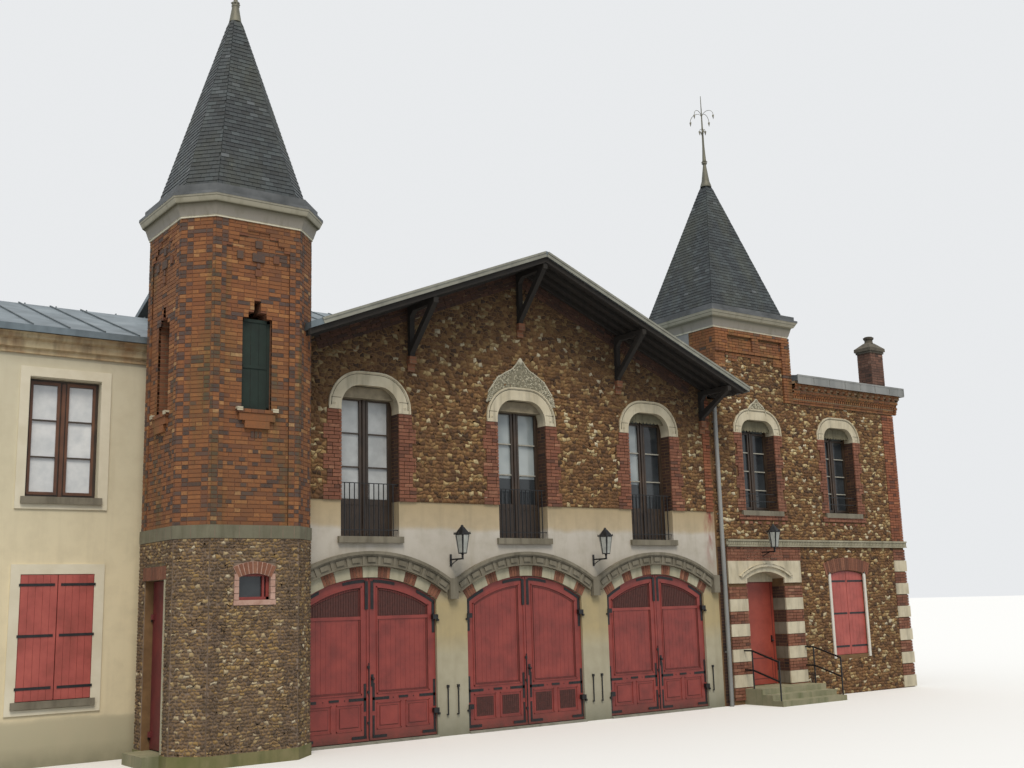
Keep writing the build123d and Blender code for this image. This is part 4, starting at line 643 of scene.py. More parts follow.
def rubble(at, width, height, cell, rng, holes=(), slopes=(), joint=0.016, pale=0.10, worn=0.0, proud=0.016,
           thick=0.012):
    """A slab of irregular stones: a bonded net of cells, shaken, cut at holes and slopes, then each
    cell is inset for its joint and raised. pale is the share of cream stones, worn the width of a band at
    both ends where most stones are dark. Material 0 is the stone, 1 the mortar."""
    bm = new_shape()
    layer = bm.verts.layers.float["tone"]
    across = 2 * max(2, round(width / cell[0]))
    rows = max(2, round(height / cell[1]))
    place = Matrix.Translation((width / 2, height / 2, 0)) @ Matrix.Diagonal((width, height, 1, 1))
    bmesh.ops.create_grid(bm, x_segments=across, y_segments=rows, size=0.5, matrix=place)
    step = width / across
    rise = height / rows
    loose = []
    for edge in bm.edges:
        a, b = edge.verts
        column = round(a.co.x / step)
        if abs(a.co.x - b.co.x) < step / 4 and 0 < column < across:
            row = int(min(a.co.y, b.co.y) / rise + 0.5)
            if (column + row) % 2:
                loose.append(edge)
    bmesh.ops.dissolve_edges(bm, edges=loose, use_verts=False)
    inner = [v for v in bm.verts if not v.is_boundary]
    for vert in inner:
        x, y = vert.co.xy
        wave = 0.35 * math.sin(x * 5.1 + y * 3.7) + 0.35 * math.sin(x * 2.3 - y * 6.1)
        vert.co.x += step * (rng.uniform(-0.55, 0.55) + 0.5 * wave)
        vert.co.y += rise * (rng.uniform(-0.36, 0.36) + 0.35 * wave)
    for x0, x1, y0, y1 in holes:
        for co, no in (((x0, 0, 0), (1, 0, 0)), ((x1, 0, 0), (1, 0, 0)), ((0, y0, 0), (0, 1, 0)),
                       ((0, y1, 0), (0, 1, 0))):
            near = [f for f in bm.faces if min(v.co.x for v in f.verts) < x1 + 0.01
                    and max(v.co.x for v in f.verts) > x0 - 0.01 and min(v.co.y for v in f.verts) < y1 + 0.01
                    and max(v.co.y for v in f.verts) > y0 - 0.01]
            geometry = list({e for f in near for e in f.edges}) + near
            bmesh.ops.bisect_plane(bm, geom=geometry, plane_co=co, plane_no=no, dist=0.002)
        inside = [f for f in bm.faces
                  if x0 < f.calc_center_median().x < x1 and y0 < f.calc_center_median().y < y1]
        bmesh.ops.delete(bm, geom=inside, context="FACES")
    for co, no in slopes:
        bmesh.ops.bisect_plane(bm, geom=bm.verts[:] + bm.edges[:] + bm.faces[:], plane_co=co, plane_no=no,
                               clear_outer=True)
    bmesh.ops.remove_doubles(bm, verts=bm.verts[:], dist=cell[1] * 0.12)
    bmesh.ops.dissolve_degenerate(bm, dist=0.004, edges=bm.edges[:])
    bmesh.ops.recalc_face_normals(bm, faces=bm.faces[:])
    if sum(f.normal.z for f in bm.faces) < 0:
        bmesh.ops.reverse_faces(bm, faces=bm.faces[:])
    raised = bmesh.ops.extrude_face_region(bm, geom=bm.faces[:])["geom"]
    front = [f for f in raised if isinstance(f, bmesh.types.BMFace)]
    for vert in (v for v in raised if isinstance(v, bmesh.types.BMVert)):
        vert.co.z += thick
    bmesh.ops.recalc_face_normals(bm, faces=bm.faces[:])
    for face in bm.faces:
        face.material_index = 1
    front = [f for f in front if f.calc_area() > 0.16 * cell[1] * sum(e.calc_length() for e in f.edges)]
    bmesh.ops.inset_individual(bm, faces=front, thickness=joint / 2, depth=0, use_even_offset=False)
    for face in front:
        face.material_index = 0
        tone = min(1.0, max(0.0, rng.gauss(0.42, 0.22)))
        if rng.random() < pale:
            tone = rng.uniform(0.8, 1.0)
        middle = face.calc_center_median().x
        if min(middle, width - middle) < worn * rng.uniform(0.6, 1.2) and rng.random() < 0.7:
            tone = rng.uniform(0.0, 0.3)
        for vert in face.verts:
            vert[layer] = tone
    sides = bmesh.ops.inset_individual(bm, faces=front, thickness=proud * 0.7, depth=proud,
                                       use_even_offset=False)["faces"]
    for face in sides:
        face.material_index = 0
        face.smooth = True
    for face in front:
        face.smooth = True
        for vert in face.verts:
            vert.co.z += rng.uniform(-0.004, 0.003)
    bm.transform(at)
    return bm


def walling(name, at, width, height, cell, seed, material, mortar, holes=(), slopes=(), joint=0.016,
            pale=0.10, worn=0.0):
    """A named slab of rubble on a wall."""
    bm = rubble(at, width, height, cell, random.Random(seed), holes, slopes, joint, pale, worn)
    return piece(name, bm, [material, mortar])


def brickwork(name, fields, seed, material=None, body="building"):
    """A named piece of brick fields: (axes, x0, x1, y0, y1, options)."""
    rng = random.Random(seed)
    bm = new_shape()
    for at, x0, x1, y0, y1, options in fields:
        courses(bm, at, x0, x1, y0, y1, rng, **options)
    return piece(name, bm, [material or BRICK], body)


def arc_block(bm, at, centre, radius_in, radius_out, turn_0, turn_1, z0, z1, tone=0.5, slot=0, steps=2):
    """A voussoir: a block between two radii and two angles from straight up."""
    layer = bm.verts.layers.float["tone"]
    turns = [turn_0 + (turn_1 - turn_0) * i / steps for i in range(steps + 1)]
    ring = [(r * math.sin(t), r * math.cos(t)) for r, ts in ((radius_in, turns), (radius_out, turns[::-1]))
            for t in ts]
    low = [bm.verts.new(at @ Vector((centre[0] + x, centre[1] + y, z0))) for x, y in ring]
    face = bm.faces.new(low)
    face.material_index = slot
    raised = bmesh.ops.extrude_face_region(bm, geom=[face], use_keep_orig=True)["geom"]
    lift = at.to_3x3() @ Vector((0, 0, z1 - z0))
    for vert in raised:
        if isinstance(vert, bmesh.types.BMVert):
            vert.co += lift
            vert[layer] = tone
            for side in vert.link_faces:
                side.material_index = slot
    for vert in low:
        vert[layer] = tone


def basket_line(half, foot, top, radius, steps=8):
    """Points up one side, round and down the other side of a flat arch with round shoulders."""
    points = [(-half, foot)]
    for index in range(steps + 1):
        turn = math.pi - math.pi / 2 * index / steps
        points.append((-half + radius + radius * math.cos(turn), top - radius + radius * math.sin(turn)))
    return points + [(-x, z) for x, z in reversed(points)]


def path_strip(bm, at, points, wide, z0, z1, tone=0.5, slot=0):
    """A bar that follows a line of points, its width on the left of the way."""
    for (xa, ya), (xb, yb) in zip(points, points[1:]):
        run = Vector((xb - xa, yb - ya, 0))
        if run.length > 0.001:
            turn = Matrix.Translation((xa, ya, 0)) @ Matrix.Rotation(math.atan2(run.y, run.x), 4, "Z")
            box_in(bm, at @ turn, -0.002, run.length + 0.002, 0, wide, z0, z1, tone, slot)


FRONT = on_front(0)

# The names' real places, read from the CAD nodes
TOWER_X0, TOWER_X1, TOWER_Y0, TOWER_Y1, _, _ = corners("tower_band")
TOWER_X0, TOWER_X1, TOWER_Y0 = TOWER_X0 + 0.03, TOWER_X1 - 0.03, TOWER_Y0 + 0.03
SHAFT_Z0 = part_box("tower_shaft")[0].z
SHAFT_Z1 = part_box("tower_shaft")[1].z
BASE_Z1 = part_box("tower_base_front")[1].z
TOWER_SIDE = TOWER_X1 - TOWER_X0
TOWER_Y1 = TOWER_Y0 + TOWER_SIDE
CORNER_CUT = 0.445
TOWER_MID = Vector(((TOWER_X0 + TOWER_X1) / 2, (TOWER_Y0 + TOWER_Y1) / 2, 0))
RENDER_LINE = 4.46
ROOF_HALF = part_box("central_roof")[1].x
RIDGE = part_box("central_roof")[1].z
ROOF_THICK = 0.12
UNDER_RIDGE = RIDGE - ROOF_THICK
VERGE_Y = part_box("central_roof")[0].y
ROOF_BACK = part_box("central_roof")[1].y
ROOF_SLOPE = 0.40
DOOR_XS = (-3.656, 0.0, 3.656)
WINDOW_XS = (-3.64, 0.0, 3.64)
WINDOW_HALF = 0.63
RIGHT_WINDOW_XS = (7.31, 10.42)
RIGHT_WINDOW_HALF = 0.59
RIGHT_SILL_Z = 4.52
GABLE_END = 5.36
RIGHT_X0 = 5.66
PILASTER_TOP = 7.29
RIGHT_X1 = 12.35
RIGHT_END = 12.85
JAMB_OUT = 0.84
LEFT_WINDOW_X = -8.925
SHUTTER_X = 10.345
ENTRANCE_X = 7.25
ENTRANCE_HALF = 0.67
ENTRANCE_JAMBS = ((5.96, 6.58), (7.92, 8.55))
ENTRANCE_ROWS = [0.10 + row * 0.29 for row in range(9)]
QUOIN_ROWS = [0.02 + row * 0.30 for row in range(12)]
SQUARE_X0, SQUARE_X1, _, SQUARE_Y1, _, SQUARE_Z1 = corners("square_tower")
STRING_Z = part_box("string_course")[0].z
STRING_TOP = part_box("string_course")[1].z


def tower_faces():
    """The stair tower's eight faces as (name, axes, width), each seen from outside."""
    x0, x1, y0, y1, c = TOWER_X0, TOWER_X1, TOWER_Y0, TOWER_Y1, CORNER_CUT
    plan = [("front", (x0 + c, y0), (x1 - c, y0)), ("front_right", (x1 - c, y0), (x1, y0 + c)),
            ("right", (x1, y0 + c), (x1, y1 - c)), ("back_right", (x1, y1 - c), (x1 - c, y1)),
            ("back", (x1 - c, y1), (x0 + c, y1)), ("back_left", (x0 + c, y1), (x0, y1 - c)),
            ("left", (x0, y1 - c), (x0, y0 + c)), ("front_left", (x0, y0 + c), (x0 + c, y0))]
    found = {}
    for name, start, end in plan:
        along = Vector((end[0] - start[0], end[1] - start[1], 0))
        found[name] = (facing((start[0], start[1], 0), along), along.length)
    return found


TOWER = tower_faces()

# Rubble walls
gable_holes = []
for x in WINDOW_XS:
    gable_holes += [(x - 0.93, x + 0.93, 3.0, 6.20), (x - 0.90, x + 0.90, 6.20, 6.52),
                    (x - 0.80, x + 0.80, 6.52, 6.74), (x - 0.62, x + 0.62, 6.74, 6.94)]
gable_x0 = TOWER_X1
slopes = [((-gable_x0, UNDER_RIDGE - RENDER_LINE, 0), (side * ROOF_SLOPE, 1, 0)) for side in (-1, 1)]
# The gable's stones darken close under the roof's slopes: painted shade of the overhang, with some soot.
walling("gable_stones", on_front(gable_x0, z=RENDER_LINE), GABLE_END - gable_x0, UNDER_RIDGE - RENDER_LINE,
        (0.105, 0.075), 11, millstone_material("millstone rubble, painted shade and soot under the roof", 0.62), MORTAR,
        [(a - gable_x0, b - gable_x0, c - RENDER_LINE, d - RENDER_LINE) for a, b, c, d in gable_holes],
        slopes, pale=0.05)
LOWER_X0 = 8.40
lower_holes = [(0.0, 8.57, -1, 3.66), (9.60, 11.09, 0.86, 3.10), (9.49, 11.17, 2.96, 3.30)]
walling("right_wing_stones_lower", on_front(LOWER_X0), RIGHT_X1 - LOWER_X0, STRING_Z, (0.115, 0.075), 12,
        MILLSTONE, MORTAR,
        [(a - LOWER_X0, b - LOWER_X0, c, d) for a, b, c, d in lower_holes])
upper_holes = []
for x in RIGHT_WINDOW_XS:
    upper_holes += [(x - JAMB_OUT, x + JAMB_OUT, 4.28, 6.44), (x - 0.86, x + 0.86, 6.44, 6.70),
                    (x - 0.78, x + 0.78, 6.70, 6.88), (x - 0.6, x + 0.6, 6.88, 7.02)]
upper_holes += [(SQUARE_X1 - 0.31, 20, PILASTER_TOP, 9), (SQUARE_X0 - 1, SQUARE_X0, 7.12, 9)]
walling("right_wing_stones_upper", on_front(RIGHT_X0, z=STRING_TOP), RIGHT_X1 - RIGHT_X0,
        8.36 - STRING_TOP, (0.115, 0.075), 13, MILLSTONE, MORTAR,
        [(a - RIGHT_X0, b - RIGHT_X0, c - STRING_TOP, d - STRING_TOP) for a, b, c, d in upper_holes])
for number, (name, window) in enumerate((("left", [(0.29, 1.30, 0.0, 3.29)]), ("front_left", []),
                                         ("front", [(0.425, 1.165, 2.55, 3.27)]), ("front_right", []),
                                         ("back_left", []))):
    at, width = TOWER[name]
    walling("tower_base_stones_" + name, at, width, BASE_Z1, (0.08, 0.055), 20 + number, FIELD_STONE,
            GREY_MORTAR, window, joint=0.014, worn=0.30 if width > 1 else 0.12)
at, width = TOWER["right"]
walling("tower_base_stones_right", at, 0.535, BASE_Z1, (0.08, 0.055), 27, FIELD_STONE, GREY_MORTAR)

# Stair tower shaft in brick: dark header chains at the corners, a stepped panel sunk in two faces
PANEL_DEEP = 0.025
middle = TOWER["front"][1] / 2
panel = [(0.60, SHAFT_Z0, 8.73), (0.485, 8.73, 8.835), (0.37, 8.835, 8.94), (0.21, 8.94, 9.045)]
panel_holes = [(middle - half, middle + half, low, high) for half, low, high in panel]
slit = [(middle - 0.275, middle + 0.275, 5.86, 7.48), (middle - 0.17, middle + 0.17, 7.48, 7.585),
        (middle - 0.065, middle + 0.065, 7.585, 7.795)]
shaft = []
for name, (at, width) in TOWER.items():
    low = SHAFT_Z0 if name in ("left", "front_left", "front", "front_right", "back_left") else 7.3
    options = {"grid": SHAFT_Z0, "chain": 0.15 if width < 1 else 0.19, "burnt": 0.13}
    if name in ("front", "left"):
        shaft.append((at, 0.0, width, low, SHAFT_Z1, dict(options, holes=panel_holes)))
        sunk = at @ Matrix.Translation((0, 0, -PANEL_DEEP))
        for x0, x1, z0, z1 in panel_holes:
            shaft.append((sunk, x0, x1, z0, z1, {"grid": SHAFT_Z0, "holes": slit, "burnt": 0.12}))
    else:
        shaft.append((at, 0.0, width, low, SHAFT_Z1, options))
at, width = TOWER["right"]
shaft.append((at, 0.0, 0.535, SHAFT_Z0, 7.3, {"grid": SHAFT_Z0, "burnt": 0.13}))
brickwork("tower_shaft_bricks", shaft, 31)

# Raised dark headers in the panels: a loose diaper below, a cross of blocks at the top, a row under the slit
dark = new_shape()
for name in ("front", "left"):
    at = TOWER[name][0]
    rng = random.Random(32)
    for row in range(11):
        for step in range(-2, 3):
            if (row + step) % 2 == 0 and rng.random() < 0.85:
                x = middle + step * 0.232 + rng.uniform(-0.02, 0.02)
                z = SHAFT_Z0 + (5 + row * 3 // 2) * BRICK_PITCH
                box_in(dark, at, x - 0.052, x + 0.052, z, z + BRICK_HIGH, -0.06,
                       BRICK_PROUD - PANEL_DEEP + 0.004, rng.uniform(0, 0.14))
    for x, z, half, rise in ((0, 8.81, 0.062, 0.066), (-0.345, 8.58, 0.055, 0.07),
                             (0.335, 8.58, 0.055, 0.07), (0, 8.57, 0.115, 0.075), (0, 8.29, 0.058, 0.06),
                             (0, 8.42, 0.03, 0.045)):
        box_in(dark, at, middle + x - half, middle + x + half, z - rise, z + rise, -0.06, 0.008,
               rng.uniform(0.05, 0.3))
    for part in (-0.072, 0, 0.072):
        box_in(dark, at, middle + part - 0.026, middle + part + 0.026, 5.37, 5.48, -0.06, -0.010, 0.03)
    for half, low, high, tone in ((0.33, 5.66, 5.79, 0.5), (0.225, 5.53, 5.655, 0.6)):
        box_in(dark, at, middle - half, middle + half, low, high, -0.06, 0.035, tone)
piece("tower_dark_headers", dark, [BRICK])
slabs = new_shape()
for name in ("front", "left"):
    at = TOWER[name][0]
    for part, (a, b) in enumerate(cut(middle - 0.36, middle + 0.36, 6)):
        box_in(slabs, at, a + 0.003, b - 0.003, 5.795, 5.856, -0.20, 0.052, (0.25, 0.5, 0.35)[part % 3], 1)
    for a, b in ((-0.38, -0.275), (0.275, 0.38)):
        box_in(slabs, at, middle + a, middle + b, 5.85, 5.885, -0.02, 0.064)
        box_in(slabs, at, middle + a, middle + b, 5.82, 5.855, 0.048, 0.064)
piece("slit_sills", slabs, [LIMESTONE, BRICK])

# Green boarding in the front slit: three boards in a frame
board_at = TOWER["front"][0] @ Matrix.Translation((middle, 0, -0.13))
boards = new_shape()
for part in range(3):
    x = -0.225 + 0.15 * part
    box_in(boards, board_at, x + 0.002, x + 0.148, 5.91, 7.43, -0.01, 0.008 + 0.001 * part)
BOARD_HALF = 0.272
BOARD_Z0 = 5.865
BOARD_Z1 = 7.475
boxes(boards, board_at, ((-BOARD_HALF, -0.222, BOARD_Z0, BOARD_Z1), (0.222, BOARD_HALF, BOARD_Z0, BOARD_Z1),
                         (-BOARD_HALF, BOARD_HALF, BOARD_Z0, BOARD_Z0 + 0.05),
                         (-BOARD_HALF, BOARD_HALF, BOARD_Z1 - 0.055, BOARD_Z1),
                         (-0.225, 0.225, 6.60, 6.66)), -0.01, 0.022)
piece("slit_boards", boards, [GREEN_PAINT])

# Jambs, quoins and panels in pressed brick
jambs = []
STONE_PROUD = 0.034
RAISED = {"proud": STONE_PROUD}
JAMB_STEP = 0.2866
RIGHT_JAMB_STEP = 0.272
for x in WINDOW_XS:
    for side in (-1, 1):
        for group in range(6):
            z0 = RENDER_LINE + group * JAMB_STEP
            wide = 0.93 if group % 2 else 1.01
            a, b = (x + out for out in span(side, WINDOW_HALF, wide))
            jambs.append((FRONT, a, b, z0, z0 + JAMB_STEP, RAISED))
for x in RIGHT_WINDOW_XS:
    for side in (-1, 1):
        for group in range(7):
            z0 = RIGHT_SILL_Z + group * RIGHT_JAMB_STEP
            reach = JAMB_OUT - 0.06 if group % 2 else JAMB_OUT + 0.03
            a, b = (x + out for out in span(side, RIGHT_WINDOW_HALF, reach))
            jambs.append((FRONT, a, b, z0, z0 + RIGHT_JAMB_STEP, RAISED))
    jambs.append((FRONT, x - JAMB_OUT - 0.02, x + JAMB_OUT + 0.02, 4.30, 4.42,
                  {"proud": STONE_PROUD + 0.02}))
    for part in range(6):
        a = x - JAMB_OUT + 0.04 + part * (2 * JAMB_OUT - 0.08 - 0.13) / 5
        jambs.append((FRONT, a, a + 0.13, 4.20, 4.29, {"proud": STONE_PROUD + 0.01}))
jambs.append((FRONT, 5.96, 8.57, 3.31, 3.64, RAISED))
END = facing((RIGHT_END, 0, 0), NORTH)
pilasters = [(FRONT, RIGHT_X1, RIGHT_END, STRING_TOP, PILASTER_TOP, RAISED),
             (FRONT, GABLE_END, 5.62, RENDER_LINE, 7.30, RAISED),
             (END, 0.0, 0.40, STRING_TOP, PILASTER_TOP, RAISED)]
brickwork("corner_pilasters", pilasters, 44, ORANGE_BRICK)

# Brick on the window reveals, darkened as painted shade, and flush
reveals = []
for x, half, low, high in ([(x, WINDOW_HALF, RENDER_LINE, 6.18) for x in WINDOW_XS]
                           + [(x, RIGHT_WINDOW_HALF, RIGHT_SILL_Z, 6.42) for x in RIGHT_WINDOW_XS]):
    for side, start, way in ((1, 0.262, -1), (-1, 0.0, 1)):
        reveals.append((facing((x + side * half, start, 0), (0, way, 0)), 0.0, 0.262, low, high,
                        {"proud": 0.003}))
ENTRANCE_RIGHT = facing((ENTRANCE_X + ENTRANCE_HALF, 0.378, 0), SOUTH)
ENTRANCE_LEFT = facing((ENTRANCE_X - ENTRANCE_HALF, 0, 0), NORTH)
for z in ENTRANCE_ROWS[2::2]:
    for at in (ENTRANCE_RIGHT, ENTRANCE_LEFT):
        reveals.append((at, 0.0, 0.378, max(z, 0.37), min(z + 0.28, 2.88), {"proud": 0.004}))
reveals.append((FRONT, 5.67, 5.94, 0.0, 3.64, {"proud": 0.012}))
brickwork("window_reveal_bricks", reveals, 45, SHADED_BRICK)
for z in QUOIN_ROWS[1::2]:
    jambs.append((FRONT, RIGHT_X1, RIGHT_END, z, z + 0.29, RAISED))
    jambs.append((END, 0.0, 0.40, z, z + 0.29, RAISED))
for z in ENTRANCE_ROWS[::2]:
    for a, b in ENTRANCE_JAMBS:
        jambs.append((FRONT, a, b, z, z + 0.28, RAISED))
brickwork("front_brick_jambs", jambs, 33, RED_BRICK)

# Square tower's brick: toothed lower edge, two sunk panels, corner pilaster
FRAME_PROUD = 0.075
TOOTH_PROUD = 0.045
FRAME_Z = 8.42
panels = [(6.37, 7.27, 8.50, 8.80), (7.50, 8.36, 8.50, 8.80)]
square = [(FRONT, SQUARE_X0 - 0.02, SQUARE_X1, FRAME_Z, SQUARE_Z1, {"proud": FRAME_PROUD, "holes": panels})]
for a, b, c, d in panels:
    square.append((FRONT, a, b, c, d, {"proud": TOOTH_PROUD - 0.02, "grid": FRAME_Z}))
square.append((FRONT, SQUARE_X0 + 0.34, SQUARE_X1 - 0.31, 8.34, FRAME_Z, {"proud": TOOTH_PROUD}))
for a, b in ((6.41, 6.72), (7.22, 7.56), (8.04, 8.36)):
    square.append((FRONT, a, b, 8.20, 8.34, {"proud": TOOTH_PROUD}))
square.append((FRONT, SQUARE_X0 - 0.02, SQUARE_X0 + 0.34, 7.6, FRAME_Z, RAISED))
square.append((FRONT, SQUARE_X1 - 0.31, SQUARE_X1, PILASTER_TOP, FRAME_Z, {"proud": FRAME_PROUD}))
RIGHT_FACE = facing((SQUARE_X1, 0, 0), NORTH)
BACK_FACE = facing((SQUARE_X1, SQUARE_Y1, 0), WEST)
LEFT_FACE = facing((SQUARE_X0, SQUARE_Y1, 0), SOUTH)
for at, start, low in ((RIGHT_FACE, 0.0, 7.9), (LEFT_FACE, SQUARE_Y1 - 0.83, 7.2)):
    square.append((at, start, SQUARE_Y1, low, SQUARE_Z1, {"proud": 0.012}))
square.append((BACK_FACE, 0.0, SQUARE_X1 - SQUARE_X0, 7.2, SQUARE_Z1, {"proud": 0.012}))
brickwork("square_tower_bricks", square, 34)

sheets = new_shape()
for a, b in cut(0, SQUARE_Y1 - 0.84, 3):
    box_in(sheets, LEFT_FACE, a + 0.004, b - 0.004, 7.2, SQUARE_Z1, -0.01, 0.006)
    box_in(sheets, LEFT_FACE, b - 0.010, b + 0.010, 7.2, SQUARE_Z1, -0.01, 0.026)
piece("square_tower_side_sheets", sheets, [PIPE_ZINC])

# Chimney and wing cornice
chimney = []
left, right, near, far = 12.29, 12.83, 0.12, 0.55
for at, run in ((on_front(left, near), right - left), (facing((right, near, 0), NORTH), far - near),
                (facing((right, far, 0), WEST), right - left), (facing((left, far, 0), SOUTH), far - near)):
    chimney.append((at, 0.0, run, 7.95, 9.05, {"proud": 0.01}))
brickwork("chimney_bricks", chimney, 35, CHIMNEY_BRICK)
cap = new_shape()
flue = Vector((12.56, 0.335, 0))
hipped = Matrix.Diagonal((0.66, 0.55, 1, 1)) @ Matrix.Rotation(math.pi / 4, 4, "Z")
drum(cap, Matrix.Translation(flue + UP * 9.283) @ hipped, 0.5 * math.sqrt(2), 0.18 * math.sqrt(2), 0.17, 4)
drum(cap, Matrix.Translation(flue + UP * 9.50), 0.135, 0.15, 0.05, 16)
drum(cap, Matrix.Translation(flue + UP * 9.38), 0.125, 0.115, 0.04, 16)
piece("chimney_cap", cap, [CAP_MORTAR])
cornice = new_shape()
rng = random.Random(36)
for at, a, b in ((FRONT, SQUARE_X1, 12.97), (END, -0.12, 6.5)):
    for low, high, reach, pitch, wide in ((7.43, 7.49, 0.115, 0.085, 0.045),
                                          (7.66, 7.74, 0.185, 0.25, 0.12)):
        x = a
        while x + wide < b:
            box_in(cornice, at, x, x + wide, low, high, 0.03, reach, rng.uniform(0.3, 0.8))
            x += pitch
    x = a + 0.06
    while x + 0.06 < b:
        corner = at @ Matrix.Translation((x, 0, 0.085)) @ Matrix.Rotation(math.pi / 4, 4, "Y")
        box_in(cornice, corner, -0.042, 0.042, 7.50, 7.565, -0.042, 0.042, rng.uniform(0.3, 0.8))
        x += 0.12
    for low, reach in ((7.295, 0.055), (7.36, 0.075), (7.575, 0.145), (7.745, 0.195)):
        x = a
        while x < b:
            box_in(cornice, at, x, min(x + 0.22, b), low, low + 0.058, 0.0, reach, rng.uniform(0.25, 0.85))
            x += 0.232
piece("wing_cornice_bricks", cornice, [BRICK])

# Zinc fascia of the right wing: sheets with upright seams and a rolled lower edge
fascia = new_shape()
right_low, right_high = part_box("right_wing_roof")
for at, a, b in ((on_front(0, right_low.y), SQUARE_X1 + 0.02, right_high.x + 0.006),
                 (facing((right_high.x, 0, 0), NORTH), right_low.y - 0.006, 6.6)):
    count = round((b - a) / 0.62)
    for x, end in cut(a, b, count):
        box_in(fascia, at, x + 0.002, end - 0.002, 7.80, 8.02, -0.012, 0.006)
        box_in(fascia, at, x - 0.008, x + 0.008, 7.81, 8.02, 0.0, 0.016)
    box_in(fascia, at, a, b, 7.79, 7.815, -0.02, 0.014)
    box_in(fascia, at, a, b, 7.985, 8.028, -0.02, 0.012)
piece("right_wing_fascia", fascia, [PIPE_ZINC])

# Arch rings: stone and brick voussoirs in turn
DOOR_HALF = 1.47
DOOR_RISE = 0.44
DOOR_SPRING = 2.58
ARC_RADIUS = (DOOR_HALF ** 2 + DOOR_RISE ** 2) / (2 * DOOR_RISE)
ARC_Z = DOOR_SPRING + DOOR_RISE - ARC_RADIUS
HALF_TURN = math.asin(DOOR_HALF / ARC_RADIUS)
BRICK_SPAN = 0.265
STONE_SPAN = 0.33
stones = new_shape()
bricks = new_shape()
rng = random.Random(37)
for x in DOOR_XS:
    spans = []
    turn = -HALF_TURN
    for index in range(11):
        share = (BRICK_SPAN if index % 2 == 0 else STONE_SPAN) / (6 * BRICK_SPAN + 5 * STONE_SPAN)
        spans.append((turn, turn + share * 2 * HALF_TURN, index % 2 == 0))
        turn = spans[-1][1]
    for start, end, is_brick in spans:
        if is_brick:
            for a, b in cut(start, end, 4, 0.06, 0.94):
                arc_block(bricks, FRONT, (x, ARC_Z), ARC_RADIUS, ARC_RADIUS + 0.205, a, b, -0.06,
                          0.010 + rng.uniform(0, 0.003), rng.uniform(0.2, 0.9), 0, 1)
        else:
            gap = 0.0015
            arc_block(stones, FRONT, (x, ARC_Z), ARC_RADIUS - 0.002, ARC_RADIUS + 0.205, start + gap,
                      end - gap, -0.06, 0.016, rng.uniform(0.3, 0.8), 0, 3)
piece("arch_stone_voussoirs", stones, [ARCH_STONE])
piece("arch_brick_voussoirs", bricks, [RED_BRICK])

# Hood mould: square sunk panels with a raised block in each
hood = new_shape()
hood_in = ARC_RADIUS + 0.215
reach = math.asin(1.828 / (hood_in + 0.27))
HOOD_PANELS = 11
for x in DOOR_XS:
    for index, (start, end) in enumerate(cut(-reach, reach, HOOD_PANELS)):
        if index < HOOD_PANELS - 1:
            arc_block(hood, FRONT, (x, ARC_Z), hood_in + 0.012, hood_in + 0.20, end - 0.010, end + 0.010,
                      0.05, 0.078)
        arc_block(hood, FRONT, (x, ARC_Z), hood_in + 0.065, hood_in + 0.155, start + 0.028, end - 0.028,
                  0.05, 0.080)
    arc_block(hood, FRONT, (x, ARC_Z), hood_in, hood_in + 0.022, -reach, reach, 0.05, 0.084, steps=20)
    arc_block(hood, FRONT, (x, ARC_Z), hood_in + 0.188, hood_in + 0.212, -reach, reach, 0.05, 0.095,
              steps=20)
piece("hood_panels", hood, [HOOD_STONE])


# Under and at the edge of the front overhang: close boards, a beige verge board, a brick strip on the wall
# darkened as painted shade
soffit = new_shape()
verge = new_shape()
strip = new_shape()
rng = random.Random(39)
SLOPE_LONG = math.sqrt(1 + ROOF_SLOPE ** 2)
for side, reach in ((1, ROOF_HALF - 0.02), (-1, -TOWER_X1 - 0.004)):
    run = Vector((side, 0, -ROOF_SLOPE)).normalized()
    deep = Vector(NORTH)
    normal = run.cross(deep) if side < 0 else deep.cross(run)
    under = Matrix((run, deep, normal)).transposed().to_4x4()
    under.translation = (0, VERGE_Y, UNDER_RIDGE)
    for a, b in cut(0.03, -VERGE_Y, 6):
        box_in(soffit, under, 0.02, reach * SLOPE_LONG - 0.03, a + 0.003, b - 0.003, -0.004, 0.012)
    face_up = Vector((run.z * -side, 0, run.x * side))
    face = Matrix((run, face_up, Vector(SOUTH))).transposed().to_4x4()
    face.translation = (0, VERGE_Y, UNDER_RIDGE)
    box_in(verge, face, 0.0, reach * SLOPE_LONG, 0.0, ROOF_THICK / SLOPE_LONG * 0.62, -0.004, 0.010)
    box_in(verge, face, 0.0, reach * SLOPE_LONG, ROOF_THICK / SLOPE_LONG * 0.66,
           ROOF_THICK / SLOPE_LONG + 0.006, -0.05, 0.022)
    face.translation = (0, 0, UNDER_RIDGE)
    far = (GABLE_END if side > 0 else reach) * SLOPE_LONG
    if side > 0:
        courses(strip, face, 0.12, far - 0.3, -0.36, -0.02, rng, proud=STONE_PROUD)
    else:
        mirrored = face @ Matrix.Diagonal((-1, 1, 1, 1))
        courses(strip, mirrored, -far + 0.3, -0.12, -0.36, -0.02, rng, proud=STONE_PROUD)
bmesh.ops.recalc_face_normals(soffit, faces=soffit.faces[:])
bmesh.ops.recalc_face_normals(verge, faces=verge.faces[:])
bmesh.ops.recalc_face_normals(strip, faces=strip.faces[:])
piece("soffit_boards", soffit, [TIMBER])
piece("verge_strips", verge, [VERGE_ZINC])
piece("gable_brick_strip", strip, [SHADED_BRICK])


# Slates


